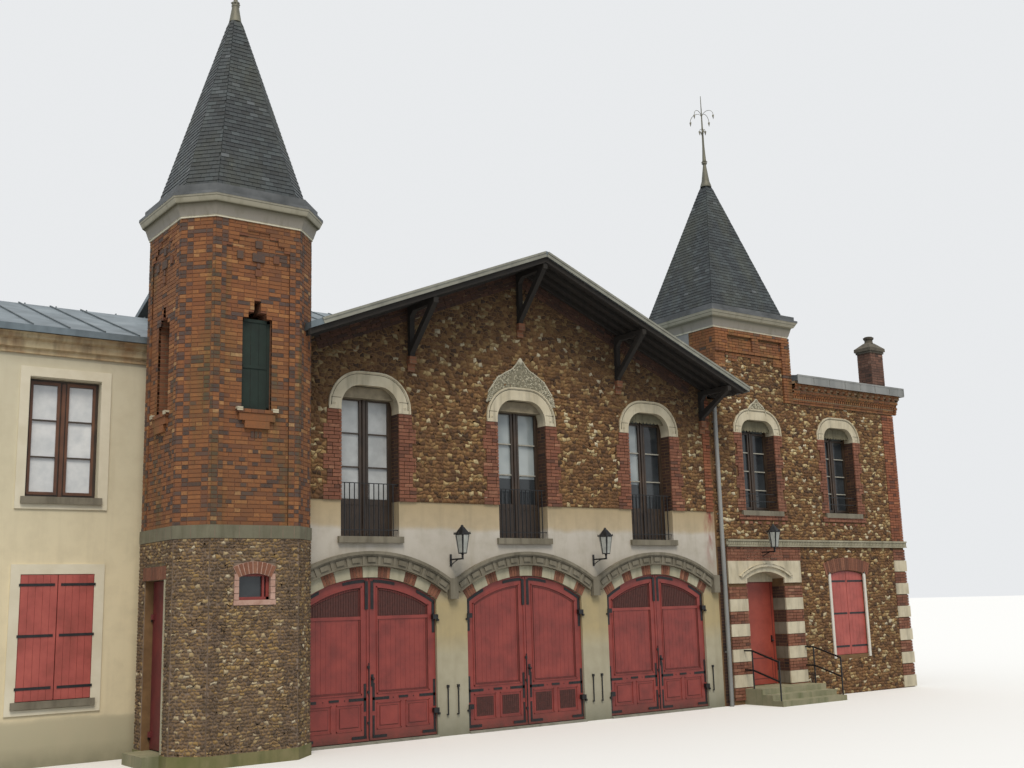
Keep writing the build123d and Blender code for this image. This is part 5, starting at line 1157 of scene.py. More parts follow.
def slate_face(bm, at, foot, top, length, rng, lift=0.006):
    """Slates on one sloping face: at has x along the foot from its middle, y up the slope."""
    rows = int(length / SLATE_SHOWN)
    for row in range(rows):
        low = row * SLATE_SHOWN
        high = min(low + SLATE_SHOWN * 1.25, length)
        half_low = foot + (top - foot) * low / length
        half_high = foot + (top - foot) * high / length
        x = -half_low - (SLATE_WIDE / 2 if row % 2 else 0)
        while x < half_low:
            left, right = max(x, -half_low), min(x + SLATE_WIDE - 0.004, half_low)
            if right - left > 0.03:
                tone = min(1, max(0, rng.gauss(0.45, 0.2)))
                made = box_in(bm, at, left, right, low, high, -0.012, 0, tone)
                for vert in made:
                    spot = at.inverted() @ vert.co
                    if spot.y > (low + high) / 2:
                        spot.x = max(-half_high, min(half_high, spot.x))
                    spot.z += (0.010 + lift if spot.y < (low + high) / 2 else lift - 0.002)
                    spot.z += rng.uniform(-0.0008, 0.0008)
                    vert.co = at @ spot
            x += SLATE_WIDE


def spire_slates(name, middle, plan, low, high, seed):
    """Slates on every face of a spire. plan lists (turn in degrees, distance out at the foot and at the top,
    half width at the foot and at the top)."""
    bm = new_shape()
    rng = random.Random(seed)
    for turn, out_low, out_high, half_low, half_high in plan:
        angle = math.radians(turn)
        out = Vector((math.cos(angle), math.sin(angle), 0))
        rise = (UP * (high - low) - out * (out_low - out_high))
        length = rise.length
        up_slope = rise.normalized()
        along = UP.cross(out).normalized()
        normal = along.cross(up_slope)
        turn_to = Matrix((along, up_slope, normal)).transposed().to_4x4()
        at = Matrix.Translation(middle + out * out_low + UP * low) @ turn_to
        slate_face(bm, at, half_low, half_high, length, rng)
    return piece(name, bm, [SLATE])


spire_low, spire_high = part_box("tower_spire")[0].z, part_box("tower_spire")[1].z
HALF = TOWER_SIDE / 2 - 0.001
TOP = 0.10
flat_half = HALF - CORNER_CUT
share = (TOWER_SIDE - CORNER_CUT) / (TOWER_SIDE / math.sqrt(2))
cut_half = CORNER_CUT / math.sqrt(2)
plan = []
for quarter in range(4):
    plan.append((90 * quarter, HALF, TOP, flat_half, TOP * flat_half / HALF))
    plan.append((90 * quarter + 45, HALF * share, TOP * share, cut_half, TOP * cut_half / HALF))
spire_slates("tower_spire_slates", TOWER_MID, plan, spire_low, spire_high, 41)
square_low, square_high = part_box("square_spire")[0].z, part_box("square_spire")[1].z
square_mid = Vector(((SQUARE_X0 + SQUARE_X1) / 2, SQUARE_Y1 / 2, 0))
half_x = (SQUARE_X1 - SQUARE_X0) / 2 - 0.001
half_y = SQUARE_Y1 / 2 - 0.001
plan = [(turn, out, TOP, wide, TOP) for turn, out, wide in ((0, half_x, half_y), (90, half_y, half_x),
                                                            (180, half_x, half_y), (270, half_y, half_x))]
spire_slates("square_spire_slates", square_mid, plan, square_low, square_high, 42)


# Coach doors: boards in the field, mouldings, low panels, irons
LEAF_FACE = 0.05
LEAF_OUT = 1.46
LEAF_IN = 0.006
STILE = 0.15
FIELD_LOW = 0.88
GRILLE_Z = 2.27
PANEL_Z0 = 0.245
PANEL_Z1 = 0.73
LEAF_RADIUS = ARC_RADIUS - 0.012
PLATE = (0.0, 0.007)
PIN_OUT = DOOR_HALF
HINGE_LEVELS = (0.50, 2.25)


def arc_height(x, drop=0.0):
    """Height of the leaf's arched top at x from the door's middle, dropped inward by drop."""
    return ARC_Z + math.sqrt((LEAF_RADIUS - drop) ** 2 - x * x)


def arch_strip(bm, at, x0, x1, low, drop, z0, z1, tone=0.5, slot=0):
    """A board from a level up to the arch, its top cut to the arch's slope."""
    made = box_in(bm, at, x0, x1, low, low + 1, z0, z1, tone, slot)
    reshape(at, made, lambda x, y, z: (x, arc_height(x, drop) if y > low + 0.5 else y, z))


def bent_strip(bm, at, x0, x1, drop_out, drop_in, z0, z1, steps=8, slot=0):
    """A bar that follows the leaf's arched top between two drops."""
    for a, b in cut(x0, x1, steps):
        made = box_in(bm, at, a, b, 0, 1, z0, z1, 0.5, slot)
        reshape(at, made, lambda x, y, z: (x, arc_height(x, drop_out if y > 0.5 else drop_in), z))


def leaf_boards(at, side, low, high, panels, boarded, rng):
    """The field's boards and mouldings, the two low panels and the leaf's edges."""
    wood = new_shape()
    count = 11
    pitch = (high - low) / count
    for index in range(count):
        a = low + pitch * index + 0.0015
        b = low + pitch * (index + 1) - 0.0015
        face = -0.010 + rng.uniform(0, 0.0015)
        if boarded:
            arch_strip(wood, at, a, b, FIELD_LOW, STILE, -0.02, face, rng.random())
        else:
            box_in(wood, at, a, b, FIELD_LOW, GRILLE_Z, -0.02, face, rng.random())
    # The slot 1 strips inside the mouldings are painted shade.
    for inset, wide, proud, slot in ((0.0, 0.022, 0.012, 0), (0.022, 0.010, 0.0, 1),
                                     (0.05, 0.012, 0.001, 1)):
        a, b = low + inset, high - inset
        foot, drop = FIELD_LOW + inset, STILE + inset
        for x0, x1 in ((a, a + wide), (b - wide, b)):
            arch_strip(wood, at, x0, x1, foot, drop, -0.02, proud, 0.5, slot)
        bent_strip(wood, at, a, b, drop, drop + wide, -0.02, proud, 8, slot)
        box_in(wood, at, a, b, foot, foot + wide, -0.02, proud, 0.5, slot)
    if not boarded:
        box_in(wood, at, low, high, GRILLE_Z - 0.03, GRILLE_Z + 0.03, -0.02, 0.004)
    for x0, x1 in panels:
        # The slot 1 ring round each low panel is painted shade.
        for inset, face, slot in ((0.012, -0.006, 0), (0.062, -0.002, 1), (0.075, 0.006, 0)):
            if not boarded or inset < 0.05:
                box_in(wood, at, x0 + inset, x1 - inset, PANEL_Z0 + inset, PANEL_Z1 - inset, -0.02, face,
                       0.5, slot)
        boxes(wood, at, ((x0, x1, PANEL_Z0, PANEL_Z0 + 0.017), (x0, x1, PANEL_Z1 - 0.017, PANEL_Z1),
                         (x0, x0 + 0.017, PANEL_Z0, PANEL_Z1), (x1 - 0.017, x1, PANEL_Z0, PANEL_Z1)), -0.02,
                         0.008)
    arch_strip(wood, at, *span(side, LEAF_IN, LEAF_IN + 0.05), 0.06, 0.01, -0.004, 0.012)
    box_in(wood, at, *span(side, LEAF_IN, LEAF_OUT), 0.055, 0.10, -0.004, 0.010)
    return wood


def leaf_grille(iron, at, low, high, panels, boarded):
    """Louvres: over the field's bar, or in the low panels of a leaf that is boarded up to its arch."""
    if boarded:
        for x0, x1 in panels:
            box_in(iron, at, x0 + 0.06, x1 - 0.06, 0.305, 0.67, -0.010, -0.003, slot=1)
            for part in range(10):
                z = 0.312 + part * 0.0385
                box_in(iron, at, x0 + 0.06, x1 - 0.06, z, z + 0.005, -0.006, 0.001, slot=1)
            for part in range(9):
                a = x0 + 0.066 + part * (x1 - x0 - 0.132) / 8
                box_in(iron, at, a - 0.0025, a + 0.0025, 0.305, 0.67, -0.006, 0.003, slot=1)
        return
    bars = 22
    for index in range(bars + 1):
        a = low + (high - low) * index / bars
        arch_strip(iron, at, max(low, a - 0.004), min(high, a + 0.004), GRILLE_Z + 0.03, STILE + 0.01,
                   -0.017, -0.006, slot=1)
    arch_strip(iron, at, low, high, GRILLE_Z + 0.03, STILE + 0.01, -0.020, -0.016, slot=1)


def leaf_irons(iron, at, side, middle):
    """Corner plates, straps, studs and hinge eyes, with the bolt or the lock where the leaves meet."""
    top_out = arc_height(LEAF_OUT)
    top_in = arc_height(LEAF_IN)
    box_in(iron, at, *span(side, LEAF_OUT - 0.075, LEAF_OUT - 0.012), top_out - 0.62, top_out - 0.05, *PLATE)
    bent_strip(iron, at, *span(side, LEAF_OUT - 0.012, LEAF_OUT - 0.42), 0.02, 0.075, *PLATE)
    box_in(iron, at, *span(side, LEAF_IN + 0.02, LEAF_IN + 0.085), top_in - 0.58, top_in - 0.06, 0.0, 0.019)
    bent_strip(iron, at, *span(side, LEAF_IN + 0.085, LEAF_IN + 0.55), 0.03, 0.085, *PLATE)
    for edge, inward in ((side * (LEAF_OUT - 0.015), -side), (side * (LEAF_IN + 0.06), side)):
        for reach, z0, z1, proud in ((0.36, 0.775, 0.825, 0.0), (0.05, 0.58, 1.08, 0.0),
                                     (0.045, 0.10, 0.50, 0.0), (0.30, 0.10, 0.15, 0.010)):
            box_in(iron, at, *sorted((edge, edge + inward * reach)), z0, z1, proud, proud + 0.006)
    box_in(iron, at, middle - 0.10, middle + 0.10, 0.785, 0.825, 0.0, 0.012)
    for spread in (-0.45, -0.22, 0.22, 0.45):
        bmesh.ops.create_uvsphere(iron, u_segments=8, v_segments=4, radius=0.010,
                                  matrix=at @ Matrix.Translation((middle + spread, 0.80, 0.006)))
    for level in HINGE_LEVELS:
        low_z, high_z = level - 0.0452, level + 0.046
        box_in(iron, at, *span(side, PIN_OUT - 0.1015, PIN_OUT - 0.0085), low_z, high_z, 0.0, 0.0843)
        eye = at @ Matrix.Translation((side * PIN_OUT, level, 0.074)) @ Matrix.Rotation(math.pi / 2, 4, "X")
        drum(iron, eye, 0.019, 0.019, high_z - low_z, 20)
    if side < 0:
        box_in(iron, at, -0.022, -0.004, 0.10, 1.45, 0.012, 0.028)
        for z in (0.35, 0.9, 1.35):
            box_in(iron, at, -0.05, 0.0, z, z + 0.05, 0.010, 0.032)
    else:
        box_in(iron, at, 0.03, 0.085, 1.02, 1.24, 0.012, 0.020)
        bmesh.ops.create_uvsphere(iron, u_segments=12, v_segments=8, radius=0.030,
                                  matrix=at @ Matrix.Translation((0.058, 1.16, 0.05)))
        drum(iron, at @ Matrix.Translation((0.058, 1.16, 0.03)), 0.012, 0.012, 0.04, 10)


def coach_leaf(number, x, side, word):
    """Boards, mouldings and irons of one coach door leaf; the middle door is boarded up to its arch."""
    body = "coach_door_%d_%s" % (number, word)
    boarded = number == 2
    at = on_front(x, LEAF_FACE)
    low, high = span(side, LEAF_IN + STILE, LEAF_OUT - STILE)
    middle = (low + high) / 2
    panels = ((low, middle - 0.05), (middle + 0.05, high))
    wood = leaf_boards(at, side, low, high, panels, boarded, random.Random(50 + number * 2 + side))
    piece(body + "_boards", wood, [RED_PAINT, RED_SHADE], body)
    iron = new_shape()
    leaf_grille(iron, at, low, high, panels, boarded)
    leaf_irons(iron, at, side, middle)
    piece(body + "_irons", iron, [IRON, GRILLE], body)


for number, x in enumerate(DOOR_XS, start=1):
    for side, word in ((-1, "left"), (1, "right")):
        coach_leaf(number, x, side, word)

# Hooks that hold the leaves back, a pair on each pier
hooks = new_shape()
for x in (-5.40, -1.84, 1.82, 5.40):
    for side in ((-1, 1) if abs(x) < 5 else (1 if x < 0 else -1,)):
        a = x + side * 0.12
        box_in(hooks, FRONT, a - 0.010, a + 0.010, 0.40, 0.92, 0.012, 0.030)
        box_in(hooks, FRONT, a - 0.022, a + 0.022, 0.90, 0.95, -0.01, 0.040)
        box_in(hooks, FRONT, a - 0.035, a + 0.010, 0.385, 0.410, 0.012, 0.034)
piece("hold_back_hooks", hooks, [IRON])

# Glazing bars, stiles and low panels of the windows
BACK_OF_REVEAL = 0.27


def window_bars(bm, at, half, low, top, panel, rows, slot=0, bar_slot=0):
    """Two leaves with horizontal glazing bars, told on the window's own face."""
    for side in (-1, 1):
        a, b = span(side, 0.055, half - 0.055)
        box_in(bm, at, a, a + 0.045, panel, top - 0.05, -0.02, 0.016, 0.5, slot)
        box_in(bm, at, b - 0.045, b, panel, top - 0.05, -0.02, 0.016, 0.5, slot)
        for index in range(rows + 1):
            z = panel + (top - 0.09 - panel) * index / rows
            deep = 0.05 if index in (0, rows) else 0.024
            box_in(bm, at, a, b, z, z + deep, -0.02, 0.014, 0.5, slot if deep == 0.05 else bar_slot)
    box_in(bm, at, -0.03, 0.03, low, top - 0.06, -0.01, 0.03, 0.5, slot)


def valance(bm, at, half, low, high):
    """A hanging canvas strip with a scalloped lower edge."""
    count = 11
    radius = half / count
    for part, (a, b) in enumerate(cut(-half, half, count)):
        top = high if 0 < part < count - 1 else high - 0.10
        box_in(bm, at, a, b, low, top, -0.010, 0.004 * (part % 2), 0.5, 1)
        drum(bm, at @ Matrix.Translation((a + radius, low, -0.003)), radius, radius, 0.012, 14)
        for face in bm.faces[-16:]:
            face.material_index = 1


bars = new_shape()
blinds = new_shape()
for x in WINDOW_XS:
    at = on_front(x, BACK_OF_REVEAL)
    window_bars(bars, at, WINDOW_HALF, 3.78, 6.50, 4.46, 3, 0, 0 if x < -1 else 2)
    for side in (-1, 1):
        a, b = span(side, 0.06, 0.575)
        for c, d in cut(a, b, 5):
            box_in(bars, at, c + 0.002, d - 0.002, 3.80, 4.44, -0.01, 0.006)
        for z in (3.79, 4.40):
            box_in(bars, at, a, b, z, z + 0.06, -0.01, 0.016)
    at_head = on_front(x, 0.10)
    if x > 1:
        valance(blinds, at_head, 0.61, 6.50, 6.665)
    else:
        box_in(blinds, at_head, -0.60, 0.60, 6.46, 6.66, -0.16, 0.0, 0.5)
        box_in(blinds, at_head, -0.61, 0.61, 6.44, 6.47, -0.17, 0.012, 0.4)
for x in RIGHT_WINDOW_XS:
    at = on_front(x, BACK_OF_REVEAL)
    window_bars(bars, at, RIGHT_WINDOW_HALF, RIGHT_SILL_Z, 6.52, 4.58, 4, 0, 2)
    valance(blinds, on_front(x, 0.10), 0.575, 6.54, 6.755)
LEFT_WALL_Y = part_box("left_wing_front")[0].y
at = on_front(LEFT_WINDOW_X, LEFT_WALL_Y + 0.15)
window_bars(bars, at, 0.615, 4.49, 6.57, 4.54, 3, 1)
curtains = new_shape()
for side in (-1, 1):
    a, b = span(side, 0.10, 0.515)
    box_in(curtains, at, a, b, 4.59, 6.47, -0.036, -0.022, 0.5, 2)
for x, side, slot, low, high in ((WINDOW_XS[0], -1, 0, 4.50, 6.43), (WINDOW_XS[0], 1, 0, 4.50, 6.43),
                                 (WINDOW_XS[1], 1, 1, 4.50, 5.05), (WINDOW_XS[1], -1, 1, 4.50, 5.05),
                                 (WINDOW_XS[2], 1, 1, 4.50, 6.43), (WINDOW_XS[2], -1, 1, 4.50, 5.05),
                                 (RIGHT_WINDOW_XS[0], -1, 1, 4.62, 6.45),
                                 (RIGHT_WINDOW_XS[0], 1, 1, 4.62, 6.45),
                                 (RIGHT_WINDOW_XS[1], -1, 1, 4.62, 6.45),
                                 (RIGHT_WINDOW_XS[1], 1, 1, 4.62, 6.45)):
    a, b = span(side, 0.09, 0.53)
    box_in(curtains, on_front(x, BACK_OF_REVEAL), a, b, low, high, -0.034, -0.021, 0.5, slot)
piece("window_panes", curtains, [CURTAIN_PANE, DARK_PANE, WHITE_PANE])
piece("window_glazing_bars", bars, [BROWN_PAINT, RUSTY_PAINT, PALE_BAR])
piece("window_blind_boxes", blinds, [BLIND, VALANCE])

# Carved crests: rows of small leaves over a darker ground, a knob on top
crests = new_shape()
rng = random.Random(61)
CREST_SHAPE = ((1.0, 0.0), (0.93, 0.26), (0.69, 0.56), (0.44, 0.70), (0.25, 0.79), (0.13, 0.90), (0.05, 1.0))


def crest_top(share):
    """The crest's height at a share of its half width."""
    for (wide, low), (narrow, high) in zip(CREST_SHAPE, CREST_SHAPE[1:]):
        if narrow <= share <= wide:
            return low + (high - low) * (wide - share) / (wide - narrow)
    return 1.0


for x, leaves, size in ((0.0, 420, 0.018), (7.31, 70, 0.018)):
    low, half, high = (6.60, 0.90, 0.95) if x < 1 else (6.913, 0.33, 0.38)
    at = on_front(x)
    edge_half, edge_top, edge_round = (0.90, 6.95, 0.70) if x < 1 else (0.86, 7.04, 0.60)
    made = 0
    while made < leaves:
        u = rng.uniform(-1, 1)
        v = rng.uniform(0, 1) * crest_top(abs(u))
        px, pz = u * half, low + v * high
        corner = max(0.0, abs(px) - (edge_half - edge_round))
        if pz < edge_top - edge_round + math.sqrt(max(0.0, edge_round ** 2 - corner ** 2)) + 0.012:
            continue
        made += 1
        lean = math.atan2(px, pz - low + 0.5) + rng.uniform(-0.9, 0.9)
        turn = Matrix.Rotation(-lean, 4, "Z") @ Matrix.Diagonal((0.5, 1.3, 0.9, 1))
        bmesh.ops.create_icosphere(crests, subdivisions=1, radius=size * rng.uniform(0.8, 1.35),
                                   matrix=at @ Matrix.Translation((px, pz, 0.032)) @ turn)
    rim = [(-wide * half * 0.97, low + rise * high * 0.97) for wide, rise in CREST_SHAPE]
    rim = [(px, pz) for px, pz in rim if pz > edge_top - 0.25]
    path_strip(crests, at, rim + [(-px, pz) for px, pz in reversed(rim)], 0.022, 0.015, 0.046)
    bmesh.ops.create_icosphere(crests, subdivisions=2, radius=half * 0.06,
                               matrix=at @ Matrix.Translation((0, low + high * 0.97, 0.03))
                               @ Matrix.Diagonal((1, 1.5, 0.7, 1)))
piece("carved_crests", crests, [CARVED_STONE])

# Stone window heads: a raised rim, a cut groove inside it painted dark as its shade, a rosette on each foot
heads = new_shape()
for x, half, top, radius, foot, line in ([(x, 0.90, 6.95, 0.70, 6.18, 6.40) for x in WINDOW_XS]
                                         + [(x, 0.86, 7.04, 0.60, 6.42, 6.58) for x in RIGHT_WINDOW_XS]):
    at = on_front(x)
    path_strip(heads, at, basket_line(half - 0.03, foot, top - 0.03, radius - 0.03), 0.03, 0.02, 0.046)
    path_strip(heads, at, basket_line(half - 0.060, line, top - 0.060, radius - 0.060), 0.010, 0.02, 0.0315,
               0.5, 1)
    for side in (-1, 1):
        a, b = span(side, half - 0.05, half - 0.26)
        box_in(heads, at, a, b, line - 0.005, line + 0.005, 0.02, 0.0315, 0.5, 1)
        spot = at @ Matrix.Translation((side * (half - 0.13), (foot + line) / 2, 0.030))
        drum(heads, spot, 0.042, 0.030, 0.014, 12)
        bmesh.ops.create_icosphere(heads, subdivisions=1, radius=0.014,
                                   matrix=spot @ Matrix.Translation((0, 0, 0.008)))
piece("window_head_mouldings", heads, [LIMESTONE, GROOVE_SHADE])

# Shutters: boards and strap hinges
shutters = new_shape()
straps = new_shape()
for x, half, low, high, face_y, arch in ((LEFT_WINDOW_X, 0.605, 1.08, 3.16, LEFT_WALL_Y - 0.02, 0.0),
                                         (SHUTTER_X, 0.655, 0.96, 2.96, 0.04, 0.07)):
    at = on_front(x, face_y)
    middle_z = (low + high) / 2
    for side in (-1, 1):
        for board, (near, far) in enumerate(cut(0.006, half, 5)):
            a, b = span(side, near + 0.002, far - 0.002)
            made = box_in(shutters, at, a, b, low, high, -0.01, 0.012 + 0.001 * (board % 2))
            reshape(at, made, lambda x, y, z: (x, high + arch * (1 - (x / half) ** 2) if y > middle_z else y,
                                               z))
        for z in (low + 0.18, middle_z, high - 0.19):
            a, b = span(side, 0.05, half + 0.03)
            box_in(straps, at, a, b, z, z + 0.045, 0.010, 0.020)
piece("shutter_boards", shutters, [SHUTTER_PAINT])
piece("shutter_straps", straps, [IRON])

# White jambs of the right wing's lower window, and the brick arch over it
jamb = new_shape()
for side in (-1, 1):
    a, b = span(side, 0.655, 0.735)
    box_in(jamb, on_front(SHUTTER_X), a, b, 0.88, 3.02, 0.0, 0.034)
piece("shutter_white_jambs", jamb, [WHITE_BAND])
fan = new_shape()
fan_radius = 2.6
rng = random.Random(62)
fan_turn = math.asin(0.83 / fan_radius)
for a, b in cut(-fan_turn, fan_turn, 24, 0.06, 0.94):
    arc_block(fan, FRONT, (SHUTTER_X, 3.07 - fan_radius), fan_radius, fan_radius + 0.32, a, b, -0.02, 0.034,
              rng.uniform(0.1, 0.8), 0, 1)
base_at = TOWER["front"][0]
base_arch = (0.795, 2.42)
base_turn = math.radians(27)
for a, b in cut(-base_turn, base_turn, 9, 0.14, 0.86):
    arc_block(fan, base_at, base_arch, 0.66, 0.85, a, b, -0.02, 0.030, rng.uniform(0.5, 0.9), 0, 1)
for a, b in cut(0.25, 1.345, 14):
    box_in(fan, TOWER["left"][0], a + 0.006, b - 0.006, 3.015, 3.235, -0.02, 0.036, rng.uniform(0.2, 0.7))
piece("relieving_arch_bricks", fan, [RED_BRICK])
lime = new_shape()
arc_block(lime, base_at, base_arch, 0.655, 0.855, -base_turn, base_turn, -0.02, 0.020, 0.5, 0, 10)
for a, b in ((0.43, 0.512), (1.078, 1.16)):
    for row in range(4):
        box_in(lime, base_at, a, b, 2.645 + row * 0.108, 2.745 + row * 0.108, -0.03,
               0.026 + 0.002 * (row % 2))
box_in(lime, base_at, 0.42, 1.17, 2.555, 2.638, -0.03, 0.034)
piece("base_window_surround", lime, [PINK_BRICK])
red = new_shape()
pane_at = base_at @ Matrix.Translation((0, 0, -0.06))
x0, x1, z0, z1 = 0.51, 1.08, 2.64, 3.07
pane_z0, pane_z1 = z0 + 0.05, z1 - 0.04
boxes(red, pane_at, ((x0, x1, z0, pane_z0), (x0, x1, pane_z1, z1), (x0, x0 + 0.035, z0, z1),
                     (x1 - 0.05, x1, z0, z1), (0.96, 0.995, pane_z0, pane_z1)), -0.06, 0.0)
# The pane is painted dark as the shade of the room behind.
box_in(red, pane_at, x0 + 0.035, x1 - 0.05, pane_z0, pane_z1, -0.055, -0.045, 0.5, 1)
piece("base_window_frame", red, [RED_PAINT, DARK_PANE])
edge = new_shape()
box_in(edge, TOWER["left"][0], 1.288, 1.335, 0.215, 3.01, 0.0, 0.038)
piece("side_door_edge", edge, [ARCH_STONE])

# Dark lines painted as the shade in the grooves of the entrance door's frame and low panel, and its lock
grooves = new_shape()
door_at = on_front(ENTRANCE_X, 0.38)
boxes(grooves, door_at, ((-0.592, -0.576, 0.37, 2.80), (0.576, 0.592, 0.37, 2.80),
                         (-0.592, 0.592, 2.786, 2.802), (-0.50, 0.50, 0.98, 1.004),
                         (-0.50, 0.50, 0.50, 0.516), (-0.50, -0.484, 0.50, 1.0), (0.484, 0.50, 0.50, 1.0)),
                         -0.02, 0.003)
box_in(grooves, door_at, 0.50, 0.55, 1.36, 1.52, -0.02, 0.010, 0.5, 1)
bmesh.ops.create_uvsphere(grooves, u_segments=12, v_segments=8, radius=0.026,
                          matrix=door_at @ Matrix.Translation((0.525, 1.40, 0.040)))
drum(grooves, door_at @ Matrix.Translation((0.525, 1.40, 0.02)), 0.010, 0.010, 0.04, 10)
for face in grooves.faces:
    if (door_at.inverted() @ face.calc_center_median()).z > 0.0045:
        face.material_index = 1
piece("entrance_door_grooves", grooves, [RED_SHADE, IRON], "entrance_door")

# Entrance: stone head block, stone jamb blocks, billet hood
stone = new_shape()
for z in ENTRANCE_ROWS[1::2]:
    for a, b in ENTRANCE_JAMBS:
        box_in(stone, FRONT, a, b, z, z + 0.284, 0, 0.036)
    # The reveals' blocks take the darker soiled stone as painted shade.
    for at in (ENTRANCE_RIGHT, ENTRANCE_LEFT):
        box_in(stone, at, 0.0, 0.376, z, z + 0.284, -0.01, 0.006, 0.5, 1)
ENTRANCE_RISE = 0.16
head_radius = (ENTRANCE_HALF ** 2 + ENTRANCE_RISE ** 2) / (2 * ENTRANCE_RISE)
head_turn = math.asin(ENTRANCE_HALF / head_radius)


def head_top(x):
    """Height of the entrance's arch at x from its middle, just under the stone."""
    return 3.048 - head_radius + math.sqrt(head_radius ** 2 - x ** 2)


for a, b in cut(-1.25 * head_turn, 1.25 * head_turn, 26, 0.1, 0.75):
    arc_block(stone, FRONT, (ENTRANCE_X, 3.05 - head_radius), head_radius + 0.12, head_radius + 0.17, a, b,
              0.03, 0.075, 0.6, 0, 1)
arc_block(stone, FRONT, (ENTRANCE_X, 3.05 - head_radius), head_radius + 0.17, head_radius + 0.195,
          -1.27 * head_turn, 1.27 * head_turn, 0.03, 0.09, 0.5, 0, 12)
tympanum = on_front(ENTRANCE_X, 0.376)
for a, b in cut(-0.665, 0.665, 16):
    made = box_in(stone, tympanum, a, b, 2.815, 3.0, -0.006, 0.020)
    reshape(tympanum, made, lambda x, y, z: (x, head_top(x) if y > 2.9 else y, z))
for z in QUOIN_ROWS[::2]:
    box_in(stone, FRONT, RIGHT_X1, RIGHT_END, z, z + 0.29, 0, 0.038)
    box_in(stone, END, -0.036, 0.40, z, z + 0.29, 0, 0.038)
piece("entrance_and_quoin_stones", stone, [LIMESTONE, HOOD_STONE])

# Carved string course of the right wing: small arched bars in a row
string = new_shape()
x = 5.92
while x < 12.86:
    box_in(string, FRONT, x, x + 0.034, STRING_Z + 0.045, STRING_Z + 0.115, 0.05, 0.074)
    x += 0.062
box_in(string, FRONT, SQUARE_X0, 12.91, STRING_Z + 0.13, STRING_Z + 0.17, 0.05, 0.085)
box_in(string, FRONT, SQUARE_X0, 12.91, STRING_Z, STRING_Z + 0.03, 0.05, 0.075)
piece("string_course_billets", string, [STRING_STONE])

# Zinc: standing seams on the roofs
SEAM_PITCH = 0.62
BIG_SEAM_PITCH = 0.55
WING_FOOT_Z = 7.45
WING_SLOPE = 0.35
RIGHT_FOOT_Z = 8.01
RIGHT_SLOPE = 0.14
RIGHT_SLOPE_LONG = 3.54
seams = new_shape()


def seam_rows(origin, along, run, up, length, rise=0.028):
    """Standing seams up a slope of this length, spread over run from origin along the eaves."""
    along, up = Vector(along).normalized(), Vector(up).normalized()
    normal = along.cross(up)
    at = Matrix.Translation(origin) @ Matrix((along, up, normal)).transposed().to_4x4()
    count = int(run / SEAM_PITCH)
    for index in range(count + 1):
        x = (run - count * SEAM_PITCH) / 2 + index * SEAM_PITCH
        box_in(seams, at, x - 0.012, x + 0.012, 0, length, -0.01, rise)


wing_low, wing_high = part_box("left_wing_roof")
wing_slope_long = (wing_high.y - wing_low.y) / 2 * 1.06
seam_rows((wing_low.x, wing_low.y, WING_FOOT_Z), EAST, 2.65, (0, 1, WING_SLOPE), wing_slope_long)
seam_rows((wing_high.x, wing_high.y, WING_FOOT_Z), WEST, 4.6, (0, -1, WING_SLOPE), wing_slope_long)
seam_rows((SQUARE_X1 + 0.1, right_low.y, RIGHT_FOOT_Z), EAST, right_high.x - SQUARE_X1 - 0.1,
          (0, 1, RIGHT_SLOPE), RIGHT_SLOPE_LONG, 0.022)
seam_rows((right_high.x, right_high.y, RIGHT_FOOT_Z), WEST, right_high.x - 5.9, (0, -1, RIGHT_SLOPE),
          RIGHT_SLOPE_LONG, 0.022)
CROSS_Y = ROOF_HALF
for ridge, reach in (((0, -1), CROSS_Y - VERGE_Y), ((0, 1), ROOF_BACK - CROSS_Y), ((1, 0), ROOF_HALF),
                     ((-1, 0), ROOF_HALF)):
    ridge = Vector((*ridge, 0))
    for side in (-1, 1):
        across = UP.cross(ridge) * side
        down = (across - UP * ROOF_SLOPE).normalized()
        normal = ridge.cross(down) * -side
        along = down.cross(normal)
        for index in range(int(reach / BIG_SEAM_PITCH)):
            back = 0.35 + index * BIG_SEAM_PITCH
            if back > reach - 0.1:
                continue
            foot = min(back, ROOF_HALF)
            start = Vector((0, CROSS_Y, RIDGE)) + ridge * back
            if start.y < TOWER_Y1 + 0.1 and across.x < 0:
                foot = -TOWER_X1 - 0.03
            at = Matrix((down, along, normal)).transposed().to_4x4()
            at.translation = start
            box_in(seams, at, 0.0, foot * SLOPE_LONG, -0.011, 0.011, -0.02, 0.028)
bmesh.ops.recalc_face_normals(seams, faces=seams.faces[:])
piece("roof_seams", seams, [SEAM_ZINC])

